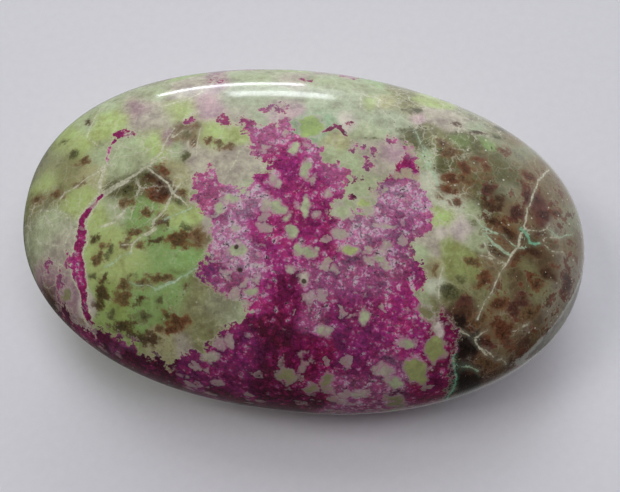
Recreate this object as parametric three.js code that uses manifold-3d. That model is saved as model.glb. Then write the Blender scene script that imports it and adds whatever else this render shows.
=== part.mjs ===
// A polished palm stone of atlantisite: one oval pebble, flatter below than above, with a small ground
// flat under its belly to rest on and a steep bevel ground along one end of its rim.
// Millimetres, +Z up. The origin is on the resting plane, under the middle of the stone, and +X runs
// along its length.
import * as THREE from "three";
import { mergeVertices } from "three/addons/utils/BufferGeometryUtils.js";
import Module from "manifold-3d";

// Driving dimensions. The swells of the rim add up to 0.3 mm to the length and the width.
const LENGTH = 68;
const WIDTH = 42.3;
const CROWN_HEIGHT = 13; // from the widest level, the girdle, up to the top
const BELLY_DEPTH = 11; // from the girdle down to the lowest point, before the flat is ground
const FOOT_GROUND_OFF = 0.22; // what the resting flat takes off the belly

// How full the curves are: 2 is an ellipse, and more is squarer.
const PLAN_FULLNESS = 2.2;
const SIDE_FULLNESS = 2.5;

// Hand grinding leaves slow swells around the rim, each a share of the radius.
const RIM_SWELLS = [
  { lobes: 3, cosine: 0.003, sine: 0.003 },
  { lobes: 4, cosine: 0.004, sine: 0.001 },
  { lobes: 5, cosine: 0.002, sine: 0.003 },
];

// The bevel is a steep wall above the girdle. Its wall stands clear of the stone by BEVEL_CLEAR away
// from the bevel's middle and closes in to BEVEL_STAND_OFF there, both as shares of the radius.
const BEVEL_MIDDLE = THREE.MathUtils.degToRad(-13);
const BEVEL_HALF_SPREAD = THREE.MathUtils.degToRad(40);
const BEVEL_CLEAR = 0.05;
const BEVEL_STAND_OFF = 0.005;
const BEVEL_LEAN = THREE.MathUtils.degToRad(15.4); // from upright, towards the stone

const FACE_SPLITS = 20; // how often each edge of the starting icosahedron is split
const STONE_COLOUR = 0x84686a;
const POLISHED_ROUGHNESS = 0.12;

// The radius of the stone's outline at the girdle, in the direction of a plan angle.
function rimRadius(angle) {
  const along = Math.abs(Math.cos(angle) / (LENGTH / 2)) ** PLAN_FULLNESS;
  const across = Math.abs(Math.sin(angle) / (WIDTH / 2)) ** PLAN_FULLNESS;
  let swell = 1;
  for (const { lobes, cosine, sine } of RIM_SWELLS) {
    swell += cosine * Math.cos(lobes * angle) + sine * Math.sin(lobes * angle);
  }
  return swell * (along + across) ** (-1 / PLAN_FULLNESS);
}

// The radius of the bevel's wall at a plan angle and a height over the girdle.
function bevelRadius(angle, height) {
  const turn = angle - BEVEL_MIDDLE;
  const off = Math.atan2(Math.sin(turn), Math.cos(turn));
  if (Math.abs(off) >= BEVEL_HALF_SPREAD) return Infinity;
  const share = Math.cos((0.5 * Math.PI * off) / BEVEL_HALF_SPREAD) ** 2;
  const standOff = BEVEL_CLEAR + (BEVEL_STAND_OFF - BEVEL_CLEAR) * share;
  return rimRadius(angle) * (1 + standOff) - Math.tan(BEVEL_LEAN) * Math.max(height, 0);
}

// Moves a point of the unit sphere to the stone's surface. The girdle is at height 0.
function onStone(point) {
  const level = Math.hypot(point.x, point.y);
  const fullness = (level ** SIDE_FULLNESS + Math.abs(point.z) ** SIDE_FULLNESS) ** (-1 / SIDE_FULLNESS);
  const height = fullness * point.z * (point.z >= 0 ? CROWN_HEIGHT : BELLY_DEPTH);
  const angle = Math.atan2(point.y, point.x);
  const domeRadius = rimRadius(angle) * fullness * level;
  const radius = Math.min(domeRadius, bevelRadius(angle, height));
  point.set(radius * Math.cos(angle), radius * Math.sin(angle), height);
}

function bareGeometry(geometry) {
  geometry.deleteAttribute("normal");
  geometry.deleteAttribute("uv");
  return mergeVertices(geometry, 1e-5);
}

function pebbleGeometry() {
  const pebble = bareGeometry(new THREE.IcosahedronGeometry(1, FACE_SPLITS));
  const places = pebble.getAttribute("position");
  const point = new THREE.Vector3();
  for (let i = 0; i < places.count; i += 1) {
    point.fromBufferAttribute(places, i);
    onStone(point);
    places.setXYZ(i, point.x, point.y, point.z);
  }
  pebble.computeBoundingBox();
  const middle = pebble.boundingBox.getCenter(new THREE.Vector3());
  pebble.translate(-middle.x, -middle.y, BELLY_DEPTH - FOOT_GROUND_OFF);
  return pebble;
}

// Everything under the resting plane, as one block wider than the stone.
function underPlaneGeometry() {
  const block = new THREE.BoxGeometry(2 * LENGTH, 2 * WIDTH, BELLY_DEPTH);
  block.translate(0, 0, -BELLY_DEPTH / 2);
  return bareGeometry(block);
}

const wasm = await Module();
wasm.setup();

function solidOf(geometry) {
  const vertProperties = geometry.getAttribute("position").array;
  const triVerts = new Uint32Array(geometry.index.array);
  return new wasm.Manifold(new wasm.Mesh({ numProp: 3, vertProperties, triVerts }));
}

function geometryOf(solid) {
  const { vertProperties, triVerts } = solid.getMesh();
  const geometry = new THREE.BufferGeometry();
  geometry.setAttribute("position", new THREE.BufferAttribute(vertProperties, 3));
  geometry.setIndex(new THREE.BufferAttribute(triVerts, 1));
  geometry.computeVertexNormals();
  return geometry;
}

const stoneSolid = solidOf(pebbleGeometry()).subtract(solidOf(underPlaneGeometry()));
const polishedStone = new THREE.MeshStandardMaterial({
  color: STONE_COLOUR,
  roughness: POLISHED_ROUGHNESS,
  metalness: 0,
});

const palmStone = new THREE.Mesh(geometryOf(stoneSolid), polishedStone);
palmStone.name = "palm_stone";

const atlantisite = new THREE.Group();
atlantisite.add(palmStone);

export default atlantisite;
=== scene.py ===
"""A polished palm stone of atlantisite, magenta stichtite in olive serpentine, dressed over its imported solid.

Run as a script. Places on the stone are in millimetres in its own plan: x along its length and y across it,
both from its middle. Blender's own lengths are metres.
"""

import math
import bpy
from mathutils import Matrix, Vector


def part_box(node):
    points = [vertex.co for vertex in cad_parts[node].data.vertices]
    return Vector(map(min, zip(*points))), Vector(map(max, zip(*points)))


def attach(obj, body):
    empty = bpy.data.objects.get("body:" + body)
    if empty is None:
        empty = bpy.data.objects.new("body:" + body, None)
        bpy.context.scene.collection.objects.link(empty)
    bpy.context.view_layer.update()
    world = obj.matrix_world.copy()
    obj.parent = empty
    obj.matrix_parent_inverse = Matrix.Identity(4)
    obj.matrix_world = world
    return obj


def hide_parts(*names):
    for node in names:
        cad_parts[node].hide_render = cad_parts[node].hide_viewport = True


bl_info = {
    "name": "Atlantisite palm stone",
    "version": (1, 0, 0),
    "blender": (4, 5, 0),
    "location": "3D View > Sidebar > Palm Stone",
    "description": "Models the polished stone with its minerals and veins, and the pale studio it lies in",
    "category": "Object",
}

import bpy
import numpy as np
from bpy.props import FloatProperty, FloatVectorProperty, IntProperty, PointerProperty
from mathutils import Vector, noise

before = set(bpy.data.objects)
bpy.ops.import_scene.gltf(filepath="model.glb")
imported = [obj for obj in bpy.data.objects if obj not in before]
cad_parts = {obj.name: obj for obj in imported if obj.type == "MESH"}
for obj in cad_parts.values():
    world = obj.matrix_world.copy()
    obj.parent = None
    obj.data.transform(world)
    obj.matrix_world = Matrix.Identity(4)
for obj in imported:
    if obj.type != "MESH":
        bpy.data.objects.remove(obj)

MM = 0.001
NODE = "palm_stone"
BODY = "root"
BOX_LOW, BOX_HIGH = (np.array(corner, dtype=float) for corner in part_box(NODE))
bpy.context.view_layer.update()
GIRDLE_SHARE = 10.78 / 23.78  # of the stone's height, the part below its widest line

# The form, from a plan that is a full oval and a side that is a fuller one.
HALF_LENGTH = 34 * MM
HALF_WIDTH = 21.15 * MM
PLAN_FULLNESS = 2.2
SIDE_FULLNESS = 2.5
RIM_SWELLS = [(3, 0.003, 0.003), (4, 0.004, 0.001), (5, 0.002, 0.003)]  # waves round the rim, cosine and sine

# The slice ground off one end, by its direction in plan.
BEVEL_MIDDLE = math.radians(-13)
BEVEL_HALF_SPREAD = math.radians(40)
BEVEL_CLEAR = 0.05  # how far the slice stands off the rim at its two ends, as a share of the radius
BEVEL_STAND_OFF = 0.005  # and at its middle
BEVEL_LEAN = math.tan(math.radians(15.4))

CROWN_SPACING = 0.472  # evens out the spacing of the mesh over the crown; 1 would leave it alone

BELLY_SQUEEZE = 0.35  # how much closer together the marks lie under the stone
BELLY_SHIFT = (3.0, -2.0)  # where the marks of the underside have slid to, in mm
NOISE_SEED = 7  # fixes the nudges of the marks, so that every run gives the same stone
FLANK_HEIGHT = 7 * MM  # how far over and under the widest line the pools are stirred, which breaks up stripes
POOL_SHARPNESS = 1.3  # how fast a pool fades, with the distance counted in its own reach
POOL_FAR_SHARE = 0.002  # what a pool still gives far away, so that no place is left without a colour


def linear(hex_colour):
    """The linear red, green and blue of an sRGB hex colour."""
    channels = [int(hex_colour[i : i + 2], 16) / 255 for i in (0, 2, 4)]
    return [c / 12.92 if c <= 0.04045 else ((c + 0.055) / 1.055) ** 2.4 for c in channels]


# --- The minerals' colours ------------------------------------------------------------------------

# Serpentine, the host: yellow-green to olive, clouded with pale haze and stained brown by iron.
GROUND = {
    "apple": "adbd76",
    "yellow": "a8a579",
    "bright green": "94ab5f",
    "green": "88a562",
    "leaf": "939b5e",
    "olive": "85835a",
    "dark olive": "64633f",
    "grey green": "a9b38b",
    "grey olive": "8e8e70",
    "mint": "a6af8f",
    "mint green": "93ac86",
    "cream": "bdb5a2",
    "pale": "c2c5ab",
    "pink white": "c9bcb2",
    "haze": "b1a896",
    "pink haze": "b89aa0",
    "mauve haze": "9f7f86",
    "grey brown": "8f8570",
    "brown": "785a3c",
    "olive brown": "807050",
    "dark olive brown": "665438",
    "umber": "553826",
    "black umber": "271b17",
    "red brown": "74462f",
    "maroon": "653c33",
}

# Stichtite, the magenta mineral, from its palest grains to its darkest.
STICHTITE = {
    "lilac": "b999b4",
    "rose": "b9749c",
    "mauve": "94688a",
    "violet": "7b4878",
    "bright": "b23a86",
    "magenta": "9c2c6e",
    "purple": "83356f",
    "deep": "7c1a50",
    "maroon": "56203a",
}

# How rich each is, from pale grains mixed with serpentine to solid black plum.
RICHNESS = {
    "lilac": 0.33,
    "rose": 0.44,
    "mauve": 0.48,
    "violet": 0.54,
    "bright": 0.51,
    "magenta": 0.6,
    "purple": 0.64,
    "deep": 0.7,
    "maroon": 0.82,
    "plum": 0.95,
}

VEIN_COLOURS = {"cream": "d2d0b4", "mint": "b4ccab", "bright mint": "80bd98", "rose": "a8688e"}

# --- The marks, in plan millimetres ----------------------------------------------------------------

# Pools of ground colour: (x, y, reach, colour).
GROUND_POOLS = [
    # left end
    (-31, 4, 2.4, "grey olive"), (-29.5, 6.5, 2, "apple"), (-28, 2.5, 1.8, "olive"),
    (-29.8, 1, 1.8, "apple"), (-27.5, -0.8, 1.3, "olive"), (-25.6, -1.8, 1.4, "apple"),
    (-30, -2, 1.4, "olive"), (-29, -6, 2.2, "grey green"), (-27, -7.5, 1.8, "haze"),
    (-32, -5, 1.5, "grey olive"), (-28, -10, 1.8, "mauve haze"), (-26, -12, 1.2, "mauve haze"),
    (-31, -8, 1.5, "grey olive"), (-27.8, -12.2, 1.4, "umber"), (-24.1, 8.3, 1.7, "apple"),
    (-24.5, 11.2, 1.5, "grey green"), (-27, 8, 1.2, "grey green"), (-26, 5, 1.5, "apple"),
    (-24.3, 4, 1.2, "grey green"), (-24.5, 1, 1.3, "yellow"), (-20.4, 10.6, 1.7, "mauve haze"),
    (-22.4, 9.6, 0.9, "haze"), (-18, 8.5, 1.9, "haze"), (-17.8, 5, 1.4, "apple"),
    (-20, 3.6, 1.7, "grey green"), (-15.3, 10, 1.6, "apple"), (-20, 13, 1.8, "grey green"),
    (-15, 13.5, 1.8, "haze"), (-12.3, 11.3, 1.8, "pink haze"), (-16.2, 5.5, 0.8, "mauve haze"),
    (-13.6, 6.6, 1.0, "olive brown"), (-10.5, 6.9, 1.4, "apple"), (-8, 6.3, 1.0, "apple"),
    (-13.9, 3.8, 0.8, "grey green"), (-14, 1.8, 1.1, "yellow"), (-11.5, 4, 1.3, "haze"),
    (-8.5, 2.6, 1.8, "haze"), (-6.5, 3.2, 1.1, "cream"), (-8, 9.8, 1.2, "haze"), (-6.8, 11, 1.8, "mint"),
    (-3.5, 11, 1.3, "pink haze"), (-5, 13, 2, "mint"), (-9.5, 13.5, 1.8, "mint"),
    (-11.8, 15, 1.2, "mauve haze"), (-7.5, 17, 2, "grey green"), (-3, 16.5, 1.5, "haze"),
    (3, 17, 2.5, "grey green"),
    # far edge, carried on below
    (-21, 16.5, 1.6, "olive"), (-16.5, 18.3, 1.5, "bright green"), (-12.5, 19.3, 1.4, "mauve haze"),
    (-8.5, 20.3, 1.5, "olive"), (-3.5, 19.6, 1.3, "bright green"), (1, 20.2, 1.4, "mauve haze"),
    (6, 19.5, 1.5, "green"), (10.5, 18.6, 1.4, "olive"), (14.5, 17.2, 1.5, "apple"),
    (18.5, 15.8, 1.4, "grey olive"), (23, 13.5, 1.4, "olive brown"),
    # middle of the far side
    (0, 8.7, 1.5, "mint green"), (1.8, 10.9, 1.1, "mint green"), (4.1, 10.8, 0.9, "pink white"),
    (2.9, 7.2, 1.1, "yellow"), (2.6, 5.6, 0.9, "grey green"), (5, 12.6, 1.7, "mint"), (2, 13.5, 2, "mint"),
    (6.5, 13.3, 0.8, "apple"), (8.3, 13.8, 0.8, "yellow"), (11, 13.3, 1.1, "olive"),
    (7, 9.3, 1.2, "grey green"), (8.8, 11.4, 1.4, "mint"), (11.7, 12.3, 0.8, "pink haze"),
    (7.5, 7.2, 1.2, "haze"), (9, 7, 1.1, "pink haze"), (6.5, 2.5, 1.6, "grey green"),
    (7.7, 4.8, 1.1, "haze"), (5.4, 5, 1.0, "grey green"), (13.2, 6.5, 1.0, "grey green"),
    (13.8, 4, 0.9, "pale"), (14.8, 12.8, 1.3, "haze"), (17, 13.3, 1.3, "haze"), (19, 12.5, 0.9, "mint"),
    (12.4, 9.3, 1.0, "dark olive"), (13.9, 9.7, 1.1, "olive"), (15.3, 6.5, 1.4, "dark olive"),
    (18, 9, 1.5, "dark olive"), (16.4, 8, 0.9, "olive brown"), (17.3, 9.2, 0.9, "green"),
    (20.8, 10.4, 0.9, "green"), (21.3, 12, 1.2, "grey olive"), (19.5, 7, 1.2, "olive brown"),
    (22, 7.3, 1.8, "dark olive"), (24, 9.3, 1.5, "grey olive"), (26, 7.6, 1.4, "olive brown"),
    (28.7, 5.5, 1.7, "olive brown"), (30.8, 3.5, 1.3, "grey olive"),
    # right end
    (17.5, 3.2, 1.3, "olive brown"), (20, 3.6, 1.8, "dark olive"), (22.5, 4, 1.1, "grey olive"),
    (24, 2.4, 1.4, "olive brown"), (27, 3.5, 1.4, "maroon"), (29.4, 1.3, 1.0, "grey brown"),
    (16.4, 1.2, 0.9, "pale"), (18.5, 0.7, 0.9, "grey green"), (15.7, -1, 0.9, "apple"),
    (17.6, -1.7, 1.1, "pink white"), (15.6, -2.6, 0.6, "pink white"), (14.2, -3.7, 0.9, "haze"),
    (19.8, -2.3, 0.9, "grey green"), (22.5, -1, 1.2, "brown"), (27.5, -2.8, 1.9, "dark olive brown"),
    (30.9, -3, 1.6, "grey brown"), (31.7, 0, 1.4, "olive brown"), (16.9, -4.3, 1.2, "leaf"),
    (18, -6.4, 1.4, "leaf"), (15.1, -6.2, 0.8, "yellow"), (15.7, -8.2, 0.7, "pale"),
    (17.3, -8.6, 1.2, "olive"), (13.2, -5.4, 0.7, "grey green"), (14.9, -4.9, 0.6, "haze"),
    (21.5, -5.9, 1.2, "olive brown"), (22.4, -7, 1.3, "olive"), (20, -8.2, 1.2, "olive"),
    (24.6, -6.4, 1.2, "dark olive brown"), (24, -8.6, 1.5, "olive brown"), (25.9, -4.2, 0.7, "olive"),
    (27, -6.4, 1.4, "olive"), (29.2, -7, 1.8, "grey brown"), (19, -10.6, 1.3, "umber"),
    (22, -10.6, 1.4, "olive brown"), (24.5, -10.5, 1.3, "olive brown"), (27, -10, 1.5, "dark olive brown"),
    (20, -13.6, 1.4, "black umber"), (23.5, -12.5, 1.7, "olive brown"), (22, -15.6, 1.8, "umber"),
    (25.7, -13, 1.5, "umber"), (19.6, -17, 1.2, "black umber"),
    # left middle
    (-22, -6, 1.7, "apple"), (-21.7, -9, 1.4, "apple"), (-20, -3.8, 1.1, "grey green"),
    (-18.4, -0.6, 1.6, "dark olive"), (-17.5, -3.6, 1.4, "green"), (-15.4, -0.8, 1.1, "umber"),
    (-13, -3.5, 1.4, "apple"), (-12.9, -2, 0.8, "olive"), (-14.5, -7.8, 1.6, "green"),
    (-12.2, -8.4, 1.4, "green"), (-17.8, -9.3, 1.8, "apple"), (-19, -13.7, 1.7, "bright green"),
    (-13, -12.6, 1.7, "green"), (-16.5, -11.6, 1.4, "green"), (-10, -12, 1.8, "olive"),
    (-7.5, -12.8, 1.5, "grey olive"), (-9.5, -15, 1.8, "olive"), (-13.5, -17.3, 1.0, "yellow"),
    (-11, -17, 0.9, "haze"), (-16, -14.5, 1.0, "green"), (-10.6, -6, 0.9, "olive brown"),
    (-22.3, -13.5, 0.8, "pink white"), (0, -4, 5, "grey green"), (3, -14, 5, "grey green"),
]

# How strongly hairline veinlets and white specks show from place to place.
STRENGTH = {"none": 0.0, "faint": 0.25, "some": 0.55, "strong": 1.0}
VEINLET_POOLS = [
    (-20, 3.5, 3, "strong"), (-29, -4, 3, "strong"), (-26, -8, 3, "some"), (-17, -3, 2.5, "strong"),
    (-16, 7, 3, "some"), (-21, 9, 3, "some"), (-8, 3, 3, "some"), (8, 4, 3, "faint"),
    (16, 0, 2.5, "strong"), (19, 1, 2, "strong"), (14, 12, 4, "strong"), (7, 13, 3, "some"),
    (22, -11, 4, "faint"), (26, -1, 4, "none"), (-13, -8, 3, "faint"), (-20, -9, 3, "faint"),
    (24, 5, 4, "faint"), (-13, -14, 4, "faint"), (-27, 3, 3, "faint"), (22, -6, 3, "faint"),
    (17, -5, 2, "faint"), (-8, 13, 5, "some"), (0, 12, 4, "some"), (-14, 18.5, 3, "strong"),
    (-4, 19.5, 3, "strong"), (6, 19.5, 3, "some"), (14, 17.5, 3, "strong"),
]
SPECK_POOLS = [
    (14, 12, 4, "strong"), (20, 8, 4, "strong"), (28, -6, 4, "strong"), (22, -12, 4, "some"),
    (27, 1, 4, "strong"), (-10, -13, 3, "some"), (-14, -14, 2, "some"), (-25, 0, 8, "none"),
    (-16, 5, 6, "none"), (0, 0, 8, "none"), (17, -4, 3, "faint"), (22, -3, 3, "some"), (-20, -9, 6, "none"),
    (0, 12, 6, "none"), (3, -12, 6, "faint"),
]
IRON_POOLS = [
    (24, 2, 3, "strong"), (27, 4, 3, "strong"), (22, -3, 2, "some"), (26, -6, 3, "strong"),
    (23, -11, 3, "strong"), (21, -15, 3, "strong"), (28, -10, 3, "strong"), (19, 6, 2.5, "some"),
    (21, 9, 2, "faint"), (18, -5, 2, "none"), (14, 0, 3, "none"), (13, 9, 3, "none"), (15, 13, 4, "none"),
    (26, 10, 2, "faint"), (-16, 0.3, 2, "some"), (-15, -15, 2, "some"), (-21, -11, 2, "faint"),
    (-18, -7, 2.5, "faint"), (-28, 1, 3, "faint"), (-22, 8, 4, "none"), (-10, 10, 6, "none"),
    (-8, 3, 4, "none"), (-27, -7, 3, "none"), (0, -5, 8, "none"),
]

# Brown and dark stains in the serpentine: (x, y, half length, half width, turn if any), by colour.
STAINS = {
    "brown": [
        (-25.6, 2.8, 0.7, 0.5, 20), (-25.4, 0, 0.6, 0.35, 25), (-28.1, -1.2, 0.8, 0.5),
        (-31, -1.3, 0.8, 0.5), (-10.1, 5.6, 0.5, 0.5), (-12.9, 5.75, 0.35, 0.5), (-12.85, 7.65, 0.3, 0.25),
        (-13.2, -0.95, 0.4, 0.3), (-8.7, 5.35, 0.5, 0.4), (-15.7, 5.7, 0.3, 0.2),
        (-17.7, -5.7, 0.9, 0.35, 12), (-16.4, -5.5, 0.4, 0.3), (-18.6, -7.1, 0.6, 0.35, 10),
        (-17.2, -7.1, 0.5, 0.35), (-16.9, -3.5, 0.6, 0.45, -20), (-19.2, -2.3, 0.6, 0.45),
        (-18, -11.5, 0.7, 0.6), (-18.3, -12.7, 1.0, 0.7, 10), (-13.9, -10.5, 1.5, 0.45, 3),
        (-16, -11.2, 0.7, 0.35), (-21.2, -7.3, 0.6, 0.45), (-21.6, -8.7, 0.5, 0.7),
        (-13.5, -13.8, 0.35, 0.3), (-13.7, -15.4, 0.6, 0.4), (-10.6, -6, 0.5, 0.9), (-14.9, -3.7, 0.5, 0.4),
        (16, 7.7, 0.8, 0.45, 20), (15.2, 8.9, 0.4, 0.35), (17.8, 4.6, 0.5, 0.4), (18.7, 4.3, 0.6, 0.35),
        (15.2, 1.9, 0.5, 0.3), (19.2, -5, 0.6, 0.4), (21.6, -11.6, 0.7, 0.4, 30),
        (22, -14.6, 0.9, 0.4, -10), (20.5, -10.9, 0.8, 0.4, 10), (26.3, -9, 1.0, 0.6, 20),
        (-23.2, -15, 0.4, 0.3), (10.4, -14.8, 0.6, 0.6), (10, -15.8, 0.5, 0.5), (14.7, -11.1, 0.45, 0.4),
        (15.05, -6.55, 0.3, 0.5), (10.8, 18.9, 0.8, 0.4), (9.6, 19.4, 0.4, 0.3), (-21.5, 16.8, 0.6, 0.4),
    ],
    "red brown": [
        (-12.7, -6.3, 1.3, 0.75, 5), (-15.9, 1.8, 0.7, 0.5, -20), (-15.4, -1.4, 1.5, 0.6, -5),
        (-12, -14.8, 1.4, 0.5, 8), (-12.3, -15.5, 1.1, 0.4, 10), (-11.4, 5.9, 0.4, 0.4),
        (22.6, 9.8, 0.6, 0.45), (19.4, 7.6, 0.7, 0.35, 25), (17.9, 6.1, 0.55, 0.6), (20.3, 6.8, 0.35, 0.5),
        (16.3, 4.3, 0.8, 0.6, -10), (16, 2.9, 0.9, 0.35, -5), (17, 1.5, 0.65, 0.45),
        (25.7, 7, 0.8, 0.5, -20), (22.7, -8.8, 1.1, 0.65, 15), (26.8, -5.8, 0.7, 0.6),
        (22.4, -10.9, 0.6, 0.35, 35), (23.3, -11.6, 1.0, 0.7, 10), (24.3, -10.9, 0.8, 0.4),
        (20.6, -6.5, 0.6, 0.8, -20), (20.2, -7.3, 0.5, 0.3), (24.1, -12.3, 0.8, 0.5),
        (21.5, -12.4, 0.5, 0.4), (29, 3, 0.8, 0.5),
    ],
    "maroon": [
        (27.3, 2.3, 0.9, 0.7), (26.5, 3.9, 0.6, 0.8), (24, 1.7, 0.9, 0.8), (25.3, 4, 0.45, 0.8),
        (25.2, -8.1, 0.9, 0.8, 20), (24.4, -8.9, 0.8, 0.6), (18.9, -9.4, 1.0, 0.5), (-14.9, -4.5, 0.7, 0.5),
        (20.8, 3.8, 0.7, 0.8), (30.7, -4.6, 0.8, 1.3), (21.4, -12.9, 0.6, 0.5),
    ],
    "umber": [
        (-20.7, -11.1, 0.6, 0.5), (-20.6, -12.3, 0.65, 0.9), (-21.1, -13.3, 0.5, 0.5),
        (-16.3, -12.95, 0.4, 0.3, 20), (-18.2, -15.6, 1.2, 0.5), (-17.5, -15.2, 0.6, 0.35),
        (-16.8, -16.2, 0.8, 0.35, -15), (-14.9, -16.6, 1.3, 0.45), (-15, -15.9, 0.35, 0.3),
        (-13.2, -14.3, 0.4, 0.3), (-15.25, -6.5, 0.55, 0.35), (-14.6, -4.6, 0.5, 0.4),
        (-17, 0.9, 0.9, 0.7, 10), (-15.6, 0.3, 0.8, 0.6), (-15, -1, 1.2, 0.6), (-11.3, -11.3, 0.2, 0.15),
        (-22.2, -6.6, 0.4, 0.35), (21.3, 0.1, 0.9, 0.4, -10), (22.8, -0.8, 0.7, 0.4, -15),
        (23.4, -1.4, 0.6, 0.6), (24.75, -1.4, 0.25, 0.45), (22.2, -3.6, 0.5, 0.25, -10),
        (21.3, -3.2, 0.5, 0.25, -20), (20.9, 1.8, 0.8, 0.6), (21.9, 1.9, 0.5, 0.6), (22, 3, 0.6, 0.5),
        (26.8, 0, 0.7, 0.35), (26.3, -2.4, 1.0, 0.5), (20.4, 2.7, 0.4, 0.5), (19.4, 11.6, 0.9, 0.3, 10),
        (16.8, 12.4, 0.5, 0.2, -20), (28, -4.5, 1.2, 0.6), (-26.6, 8.7, 0.3, 0.5, 20),
        (-27.5, -13, 1.2, 0.6, -45),
    ],
    "black umber": [
        (19.3, -13.8, 1.1, 0.8), (20.4, -13.7, 0.5, 0.5), (21, -13, 0.45, 0.35), (18.9, -12.9, 0.5, 0.35),
        (20.7, -16.6, 1.6, 0.8), (18.4, -11.4, 0.6, 0.7), (19.6, -15.5, 0.6, 0.4),
    ],
    "dark olive": [
        (-27.2, 3.8, 0.6, 0.5), (-29.2, 6.2, 0.5, 0.3), (-13.8, 6.65, 0.3, 0.6), (-13.7, 3.7, 0.3, 0.5),
        (-13.4, -1.9, 0.5, 0.3), (-12.1, -4.9, 0.35, 0.3), (-17.8, 1.1, 0.8, 0.4, 25),
        (-19.6, -0.9, 0.9, 0.5, 10), (-15.3, -14.5, 0.4, 0.3), (-14, -12.8, 0.2, 0.35),
        (10.5, 9.9, 0.5, 0.25), (11.9, 9.1, 0.5, 0.4), (13.4, 8.4, 0.25, 0.3), (11.9, 13.4, 0.9, 0.45, 10),
        (21.6, 11.8, 0.5, 0.3), (12, -8.2, 0.45, 0.45), (-9, 20.3, 0.9, 0.4), (-7.7, 20.6, 0.5, 0.3),
        (15.5, 17.5, 0.6, 0.4), (22.5, 13.8, 0.8, 0.5), (18.1, -7.1, 0.35, 0.3), (17, -8.6, 1.1, 0.9),
        (-20.2, -8, 0.3, 0.4), (-17.5, -10.5, 0.4, 0.2), (-22.1, -10.5, 0.5, 0.3), (19.1, -0.7, 0.4, 0.3),
        (-19.3, -14.3, 0.4, 0.3), (6.7, 8, 0.7, 0.12, 8),
    ],
}

# The ragged outline of the stichtite, clockwise from the far left.
STICHTITE_OUTLINE = [
    (-7.2, 8.9), (-6.2, 8.3), (-5.2, 8.6), (-4.4, 8.5), (-3.6, 8.7), (-3, 9.8), (-2.5, 9.8), (-2.2, 8.6),
    (-1.8, 7.6), (-1, 7.3), (0, 7), (0.8, 6.9), (1.5, 6.5), (1.7, 5.9), (1.6, 4.6), (2.2, 4.1), (3.2, 4.3),
    (4.4, 4.5), (5, 3.8), (4.9, 2.6), (5, 1.5), (4.6, 0.7), (4, 0.1), (3.6, -0.3), (3.4, -1.3), (3.5, -2.2),
    (4.3, -2.1), (5.2, -1.9), (6, -1.2), (6.5, -1), (7.2, -1.2), (7.7, -1.6), (8, 0), (7.7, 1), (7.8, 2),
    (8.6, 2.5), (9, 3.4), (9.4, 4.1), (10, 4.6), (10.3, 5.5), (11, 6.3), (10.6, 7.2), (10.9, 8),
    (11.8, 7.7), (12, 6.4), (12.4, 5.3), (12.8, 4.3), (13.1, 3), (13.4, 2.4), (14, 1.6), (14.4, 1),
    (14.6, -0.3), (14.3, -1.6), (14.2, -2.4), (13, -2.9), (12.5, -3.5), (12.2, -4.7), (12.9, -5.5),
    (13.6, -5.95), (14.1, -7.25), (14.2, -8.2), (13.5, -9), (13.9, -10), (14.3, -11.4), (15.2, -12.3),
    (16.4, -12.4), (15.9, -10.9), (16.4, -10.7), (17.3, -11.5), (17.9, -12.6), (18.2, -13.6), (18.1, -14.7),
    (17.9, -15.6), (18.1, -16.5), (18.4, -17.4), (18, -19), (10, -23), (0, -23), (-10, -22), (-20, -18.5),
    (-27.5, -14), (-26.6, -12.8), (-25.3, -13.6), (-24.2, -14.7), (-23, -15.3), (-21.7, -15.6),
    (-20.7, -15.6), (-19.9, -16), (-19, -16.1), (-17.9, -16.7), (-16.4, -17.1), (-16.1, -17.8), (-15, -18),
    (-13.8, -18.2), (-12.9, -18.9), (-12.3, -18.9), (-12, -18.3), (-11.4, -17.9), (-10.7, -17.6),
    (-9.3, -17.5), (-8.2, -18.2), (-7.55, -18.35), (-7.05, -17.7), (-8.4, -17.4), (-8.3, -16.7),
    (-7.25, -15.95), (-6.9, -15.1), (-6, -14.6), (-4.85, -13.95), (-4.2, -13.1), (-5.2, -12.1),
    (-6.8, -11.9), (-8, -11.2), (-9.5, -10.3), (-10.3, -9.6), (-10, -9), (-9.4, -8.3), (-9.4, -7.3),
    (-9, -6.2), (-9.2, -5.2), (-9.4, -4.2), (-9.9, -3.3), (-10.8, -3), (-11.2, -2.3), (-12.2, -1.9),
    (-12.1, -1.2), (-11.6, -0.6), (-12.2, 0.6), (-12, 1.4), (-11, 2), (-10.2, 2.8), (-9.8, 2.2),
    (-9.8, 1.2), (-9.2, 0.4), (-8, 0.4), (-7.2, 0), (-6.4, -0.2), (-5.6, 0.6), (-5.4, 1.6), (-5, 2.2),
    (-4, 2.8), (-4.2, 3.9), (-5.2, 4), (-6, 4.3), (-6.2, 5.2), (-6.4, 6.2), (-7, 7), (-7.7, 7.9),
]

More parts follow.
